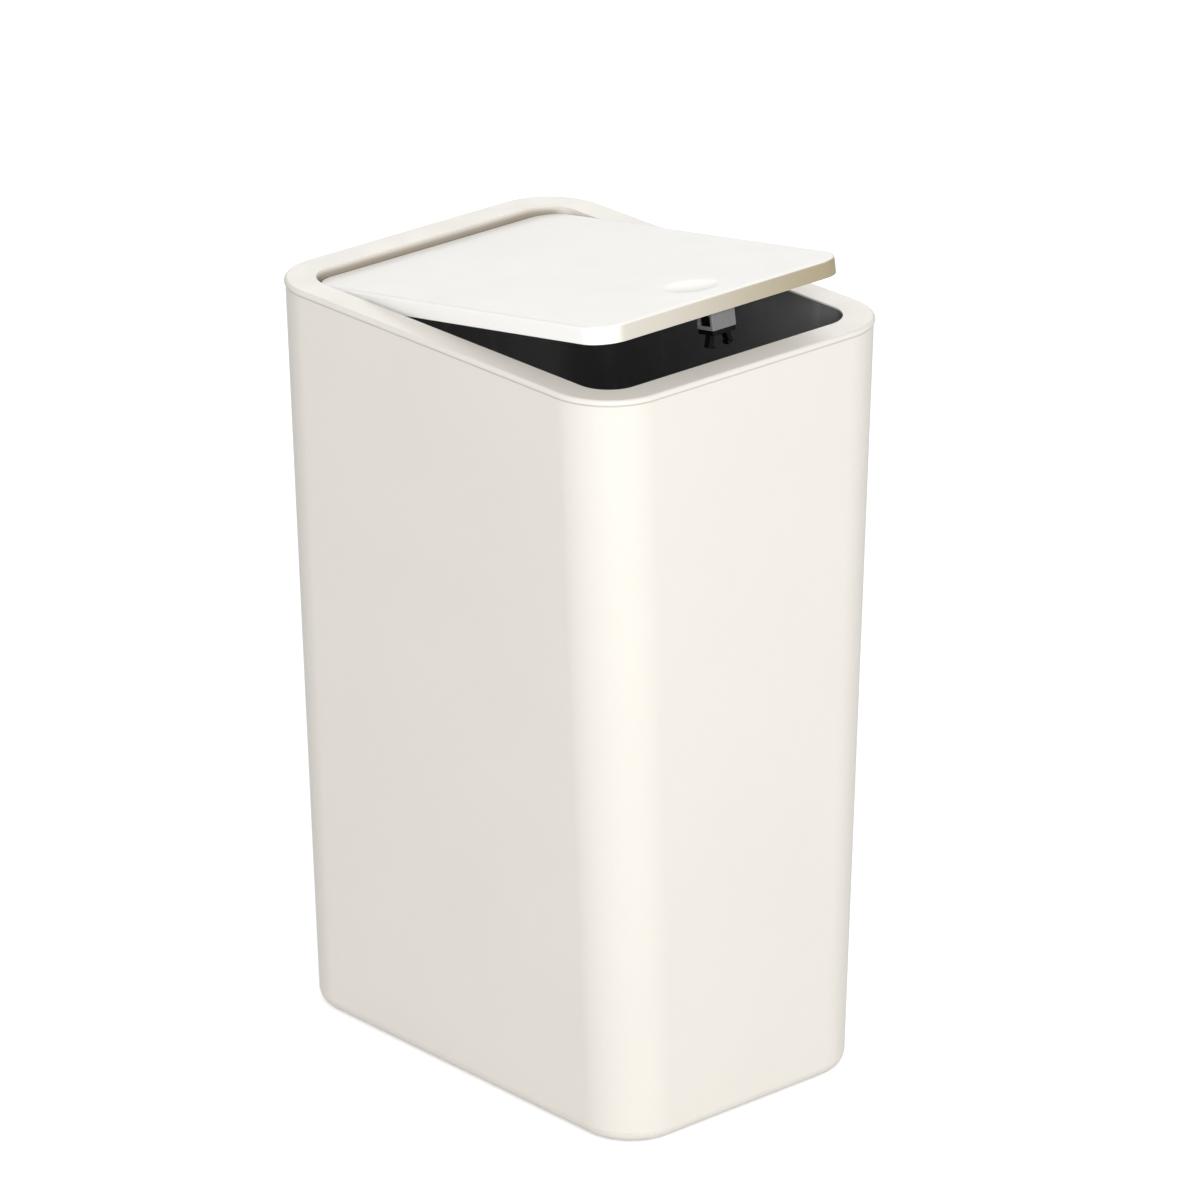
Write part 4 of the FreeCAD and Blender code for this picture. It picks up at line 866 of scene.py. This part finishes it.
class BIN_OT_latch(bpy.types.Operator):
    """Adds the push latch: housing, ring, slider and jaws"""

    bl_idname = "waste_bin.latch"
    bl_label = "Push Latch"

    def execute(self, context):
        s = sizes()
        self.housing(s)
        self.mouth(s)
        self.slider(s)
        for name, side in (("left", -1), ("right", 1)):
            self.jaw(s, name, side)
        return {"FINISHED"}

    def housing(self, s):
        """The grey housing, hung from the lid by its flange, with a window in each side."""
        low, high = HOUSING
        half_x = s.housing_width / 2
        half_y = (high.y - low.y) / 2
        wall = s.housing_wall
        mesh = bmesh.new()
        column(mesh, (half_x, half_y, s.housing_round), wall / 3, low.z, high.z)
        housing = linked("latch_case", mesh)
        lid_low = LID[1].z - s.lid_thickness
        flange_low = lid_low - s.flange_thickness

        def hollow(cutter):
            sides = (half_x - wall, half_y - wall, s.housing_round / 3)
            loft(cutter, [upright(sides, z) for z in (low.z - wall, high.z - s.housing_roof)])

        def windows(cutter):
            half = s.window_width / 2
            sill = low.z + s.window_sill
            block(cutter, (-half_x * 2, LATCH_Y - half, sill),
                  (half_x * 2, LATCH_Y + half, sill + s.window_height))

        carve(housing, hollow)
        carve(housing, windows)
        wings = bmesh.new()
        wings.from_mesh(housing.data)
        front = low.y + s.flange_setback
        for left, right in ((low.x, -half_x), (half_x, high.x)):
            corners = [(left, front), (right, front), (right, high.y), (left, high.y)]
            outline = divided(corners, FLANGE_STEPS)
            hole = bored(outline, ((left + right) / 2, LATCH_Y), s.flange_screw)
            sleeve(wings, "Z", outline, hole, flange_low, lid_low)
        bmesh.ops.recalc_face_normals(wings, faces=wings.faces)
        wings.to_mesh(housing.data)
        wings.free()
        housing.data.transform(lid_frame())
        edges = housing.modifiers.new("edges", "BEVEL")
        edges.width = wall / 6
        edges.segments = 2
        edges.limit_method = "ANGLE"
        edges.angle_limit = HOUSING_TURN
        dress(housing, "lid", "latch_grey", "latch_housing")

    def mouth(self, s):
        """The black ring under the housing that the jaws are squeezed into."""
        low, high = MOUTH
        half_y = (high.y - low.y) / 2
        soft = s.housing_wall / 4
        mesh = bmesh.new()
        column(mesh, (high.x, half_y, s.housing_round), soft, low.z, high.z)
        ring = linked("latch_ring", mesh)
        half_x = s.housing_width / 2 - s.housing_wall
        deep = (HOUSING[1].y - HOUSING[0].y) / 2 - s.housing_wall

        def opening(cutter):
            loft(cutter, [upright((half_x, deep, soft), z) for z in (low.z - soft, high.z + soft)])

        carve(ring, opening)
        ring.data.transform(lid_frame())
        dress(ring, "lid", "latch_black", "latch_mouth")

    def slider(self, s):
        """The black core: bottom plate, spring bore, cam groove and the slot for the jaws."""
        low, high = SLIDER
        half_y = (high.y - low.y) / 2
        soft = s.cam_groove / 4
        core = high.x - s.slider_shoulder
        step = low.z + s.slider_plate
        wide, narrow = (high.x, half_y, soft * 2), (core, half_y, soft)
        mesh = bmesh.new()
        loft(mesh, [upright(wide, low.z, -soft), upright(wide, low.z + soft),
                    upright(wide, step - soft), upright((high.x - soft, half_y, soft), step),
                    upright(narrow, step), upright(narrow, high.z - soft),
                    upright((core - soft, half_y - soft, soft), high.z)])
        slider = linked("latch_core", mesh)
        half = s.slider_slot / 2

        def slot(cutter):
            block(cutter, (low.x * 2, LATCH_Y - half, low.z - half),
                  (high.x * 2, LATCH_Y + half, low.z + s.slider_slot_height))

        def bore(cutter):
            loft(cutter, [circle(0, LATCH_Y, s.spring_bore, z)
                          for z in (high.z - s.spring_bore_depth, high.z + half)])

        def groove(cutter):
            half_groove = s.cam_groove_width / 2
            block(cutter, (core - s.cam_groove, LATCH_Y - half_groove, low.z + s.slider_slot_height),
                  (core * 2, LATCH_Y + half_groove, high.z * 2))

        for cutter in (slot, bore, groove):
            carve(slider, cutter)
        slider.data.transform(lid_frame())
        dress(slider, "slider", "latch_black", "latch_slider")

    def jaw(self, s, name, side):
        """One black jaw: an eye on its pin, a shank, and a hook that points inwards."""
        pin_x = (JAW_PINS[1].x - s.jaw_pin) * side
        pin_z = (JAW_PINS[0].z + JAW_PINS[1].z) / 2
        half = s.jaw_thickness / 2
        hook_top = -s.jaw_hook_depth
        tip = hook_top - s.jaw_hook_height
        reach = half + s.jaw_hook_reach
        eye = s.jaw_barrel
        start = math.degrees(math.asin(half / eye))
        outline = arc((0, 0), eye, start - 90, 270 - start, EYE_STEPS)
        outline += [(-half, hook_top), (-reach, hook_top), (-reach, tip), (half, tip)]
        outline = [(x * side, up) for x, up in outline]
        mesh = bmesh.new()
        half_y = s.slider_slot / 2 - s.jaw_side_gap
        prism(mesh, "Y", outline, -half_y, half_y, s.jaw_side_gap)
        jaw = linked(f"jaw_{name}", mesh)
        spread = Matrix.Rotation(-side * JAW_SPREAD, 4, "Y")
        jaw.data.transform(lid_frame() @ Matrix.Translation((pin_x, LATCH_Y, pin_z)) @ spread)
        dress(jaw, f"jaw_{name}", "latch_black", f"latch_jaw_{name}")


class BIN_OT_nodes(bpy.types.Operator):
    """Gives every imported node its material: pads, liner, striker, pins, springs and screws"""

    bl_idname = "waste_bin.nodes"
    bl_label = "Small Parts"

    def execute(self, context):
        for part in frame["record"]["subparts"]:
            node = frame["nodes"][part["node"]]
            node.data.materials.clear()
            node.data.materials.append(finish_of(part["material_slot"]))
        return {"FINISHED"}


class BIN_OT_stage(bpy.types.Operator):
    """Adds the floor, the studio light and the camera"""

    bl_idname = "waste_bin.stage"
    bl_label = "Studio"

    def execute(self, context):
        scene = context.scene
        self.floor(scene)
        self.world(scene)
        self.lamp(scene, "front_softbox", azimuth=-33, elevation=27, distance=3.0, size=(1.5, 1.5),
                  power=58.5)
        self.lamp(scene, "rear_softbox", azimuth=138, elevation=26, distance=2.2, size=(1.2, 1.0),
                  power=5.6)
        self.camera(scene)
        scene.view_settings.view_transform = "Standard"
        return {"FINISHED"}

    def direction(self, azimuth, elevation):
        """The way out from the bin. Azimuth 0 is straight in front, and a quarter turn on is +X."""
        level = math.cos(elevation)
        return Vector((math.sin(azimuth) * level, -math.cos(azimuth) * level, math.sin(elevation)))

    def floor(self, scene):
        """A pale floor that shows white to the camera and keeps the bin's shadow."""
        mesh = bpy.data.meshes.new("floor")
        corners = [(x * FLOOR_REACH, y * FLOOR_REACH, 0) for x, y in ((-1, -1), (1, -1), (1, 1), (-1, 1))]
        mesh.from_pydata(corners, [], [(0, 1, 2, 3)])
        floor = bpy.data.objects.new("floor", mesh)
        scene.collection.objects.link(floor)
        finish = Finish("studio_floor", colours().floor, roughness=0.9)
        finish.gloss(low=0.85, high=0.95, per_metre=6, detail=3)
        seen = finish.add("ShaderNodeLightPath").outputs["Is Camera Ray"]
        strength = finish.add("ShaderNodeMath", {0: seen, 1: FLOOR_GLOW}, operation="MULTIPLY").outputs[0]
        glow = finish.add("ShaderNodeEmission", {"Strength": strength}).outputs[0]
        both = finish.add("ShaderNodeAddShader", {0: finish.shader.outputs[0], 1: glow}).outputs[0]
        finish.tree.links.new(both, finish.tree.nodes["Material Output"].inputs["Surface"])
        mesh.materials.append(finish.material)

    def world(self, scene):
        """Soft white light from all round, and a white background."""
        world = bpy.data.worlds.new("studio_world")
        scene.world = world
        world.use_nodes = True
        tree = world.node_tree
        tree.nodes.clear()
        light, white = [wired(tree, "ShaderNodeBackground", {"Color": (1, 1, 1, 1), "Strength": strength})
                        for strength in (ROOM_LIGHT, 1)]
        ray = wired(tree, "ShaderNodeLightPath").outputs
        seen = ray["Is Camera Ray"]
        for kind in ("Is Glossy Ray", "Is Transmission Ray"):
            either = wired(tree, "ShaderNodeMath", {0: seen, 1: ray[kind]}, operation="MAXIMUM")
            seen = either.outputs[0]
        blend = wired(tree, "ShaderNodeMixShader", {0: seen, 1: light.outputs[0], 2: white.outputs[0]})
        wired(tree, "ShaderNodeOutputWorld", {"Surface": blend.outputs[0]})

    def lamp(self, scene, name, azimuth, elevation, distance, size, power):
        """A softbox that faces the bin, placed by angles in degrees."""
        away = self.direction(math.radians(azimuth), math.radians(elevation))
        data = bpy.data.lights.new(name, "AREA")
        data.shape = "RECTANGLE"
        data.size, data.size_y = size
        data.energy = power
        item = bpy.data.objects.new(name, data)
        scene.collection.objects.link(item)
        item.location = away * distance + BIN_MIDDLE
        item.rotation_euler = away.to_track_quat("Z", "Y").to_euler()

    def camera(self, scene):
        """A long lens, from the front left and above."""
        s = sizes()
        back = self.direction(s.camera_azimuth, s.camera_elevation)
        right = (-back).cross(Vector((0, 0, 1))).normalized()
        up = right.cross(-back)
        cosine, sine = math.cos(s.camera_roll), math.sin(s.camera_roll)
        right, up = right * cosine + up * sine, up * cosine - right * sine
        target = BIN_MIDDLE + right * s.camera_right + up * s.camera_up
        data = bpy.data.cameras.new("studio_camera")
        data.lens = s.camera_lens
        data.sensor_width = 36
        data.sensor_fit = "HORIZONTAL"
        data.clip_end = 100
        camera = bpy.data.objects.new("studio_camera", data)
        scene.collection.objects.link(camera)
        camera.matrix_world = Matrix.Translation(target + back * s.camera_distance) @ Matrix(
            (right, up, back)).transposed().to_4x4()
        scene.camera = camera


class BIN_PT_panel(bpy.types.Panel):
    """Lists the bin's pieces and the studio"""

    bl_idname = "BIN_PT_panel"
    bl_label = "Waste Bin"
    bl_space_type = "VIEW_3D"
    bl_region_type = "UI"
    bl_category = "Waste Bin"

    def draw(self, context):
        for operator in OPERATORS:
            self.layout.operator(operator.bl_idname)


OPERATORS = (BIN_OT_nodes, BIN_OT_casing, BIN_OT_bucket, BIN_OT_rim, BIN_OT_lid, BIN_OT_latch, BIN_OT_stage)
CLASSES = (BinSizes, BinColours, *OPERATORS, BIN_PT_panel)


def register():
    for item in CLASSES:
        bpy.utils.register_class(item)
    bpy.types.Scene.bin_sizes = bpy.props.PointerProperty(type=BinSizes)
    bpy.types.Scene.bin_colours = bpy.props.PointerProperty(type=BinColours)


def unregister():
    del bpy.types.Scene.bin_colours
    del bpy.types.Scene.bin_sizes
    for item in reversed(CLASSES):
        bpy.utils.unregister_class(item)


def main():
    register()
    bpy.ops.waste_bin.nodes()
    bpy.ops.waste_bin.casing()
    bpy.ops.waste_bin.bucket()
    bpy.ops.waste_bin.rim()
    bpy.ops.waste_bin.lid()
    bpy.ops.waste_bin.latch()
    bpy.ops.waste_bin.stage()


if __name__ == "__main__":
    main()
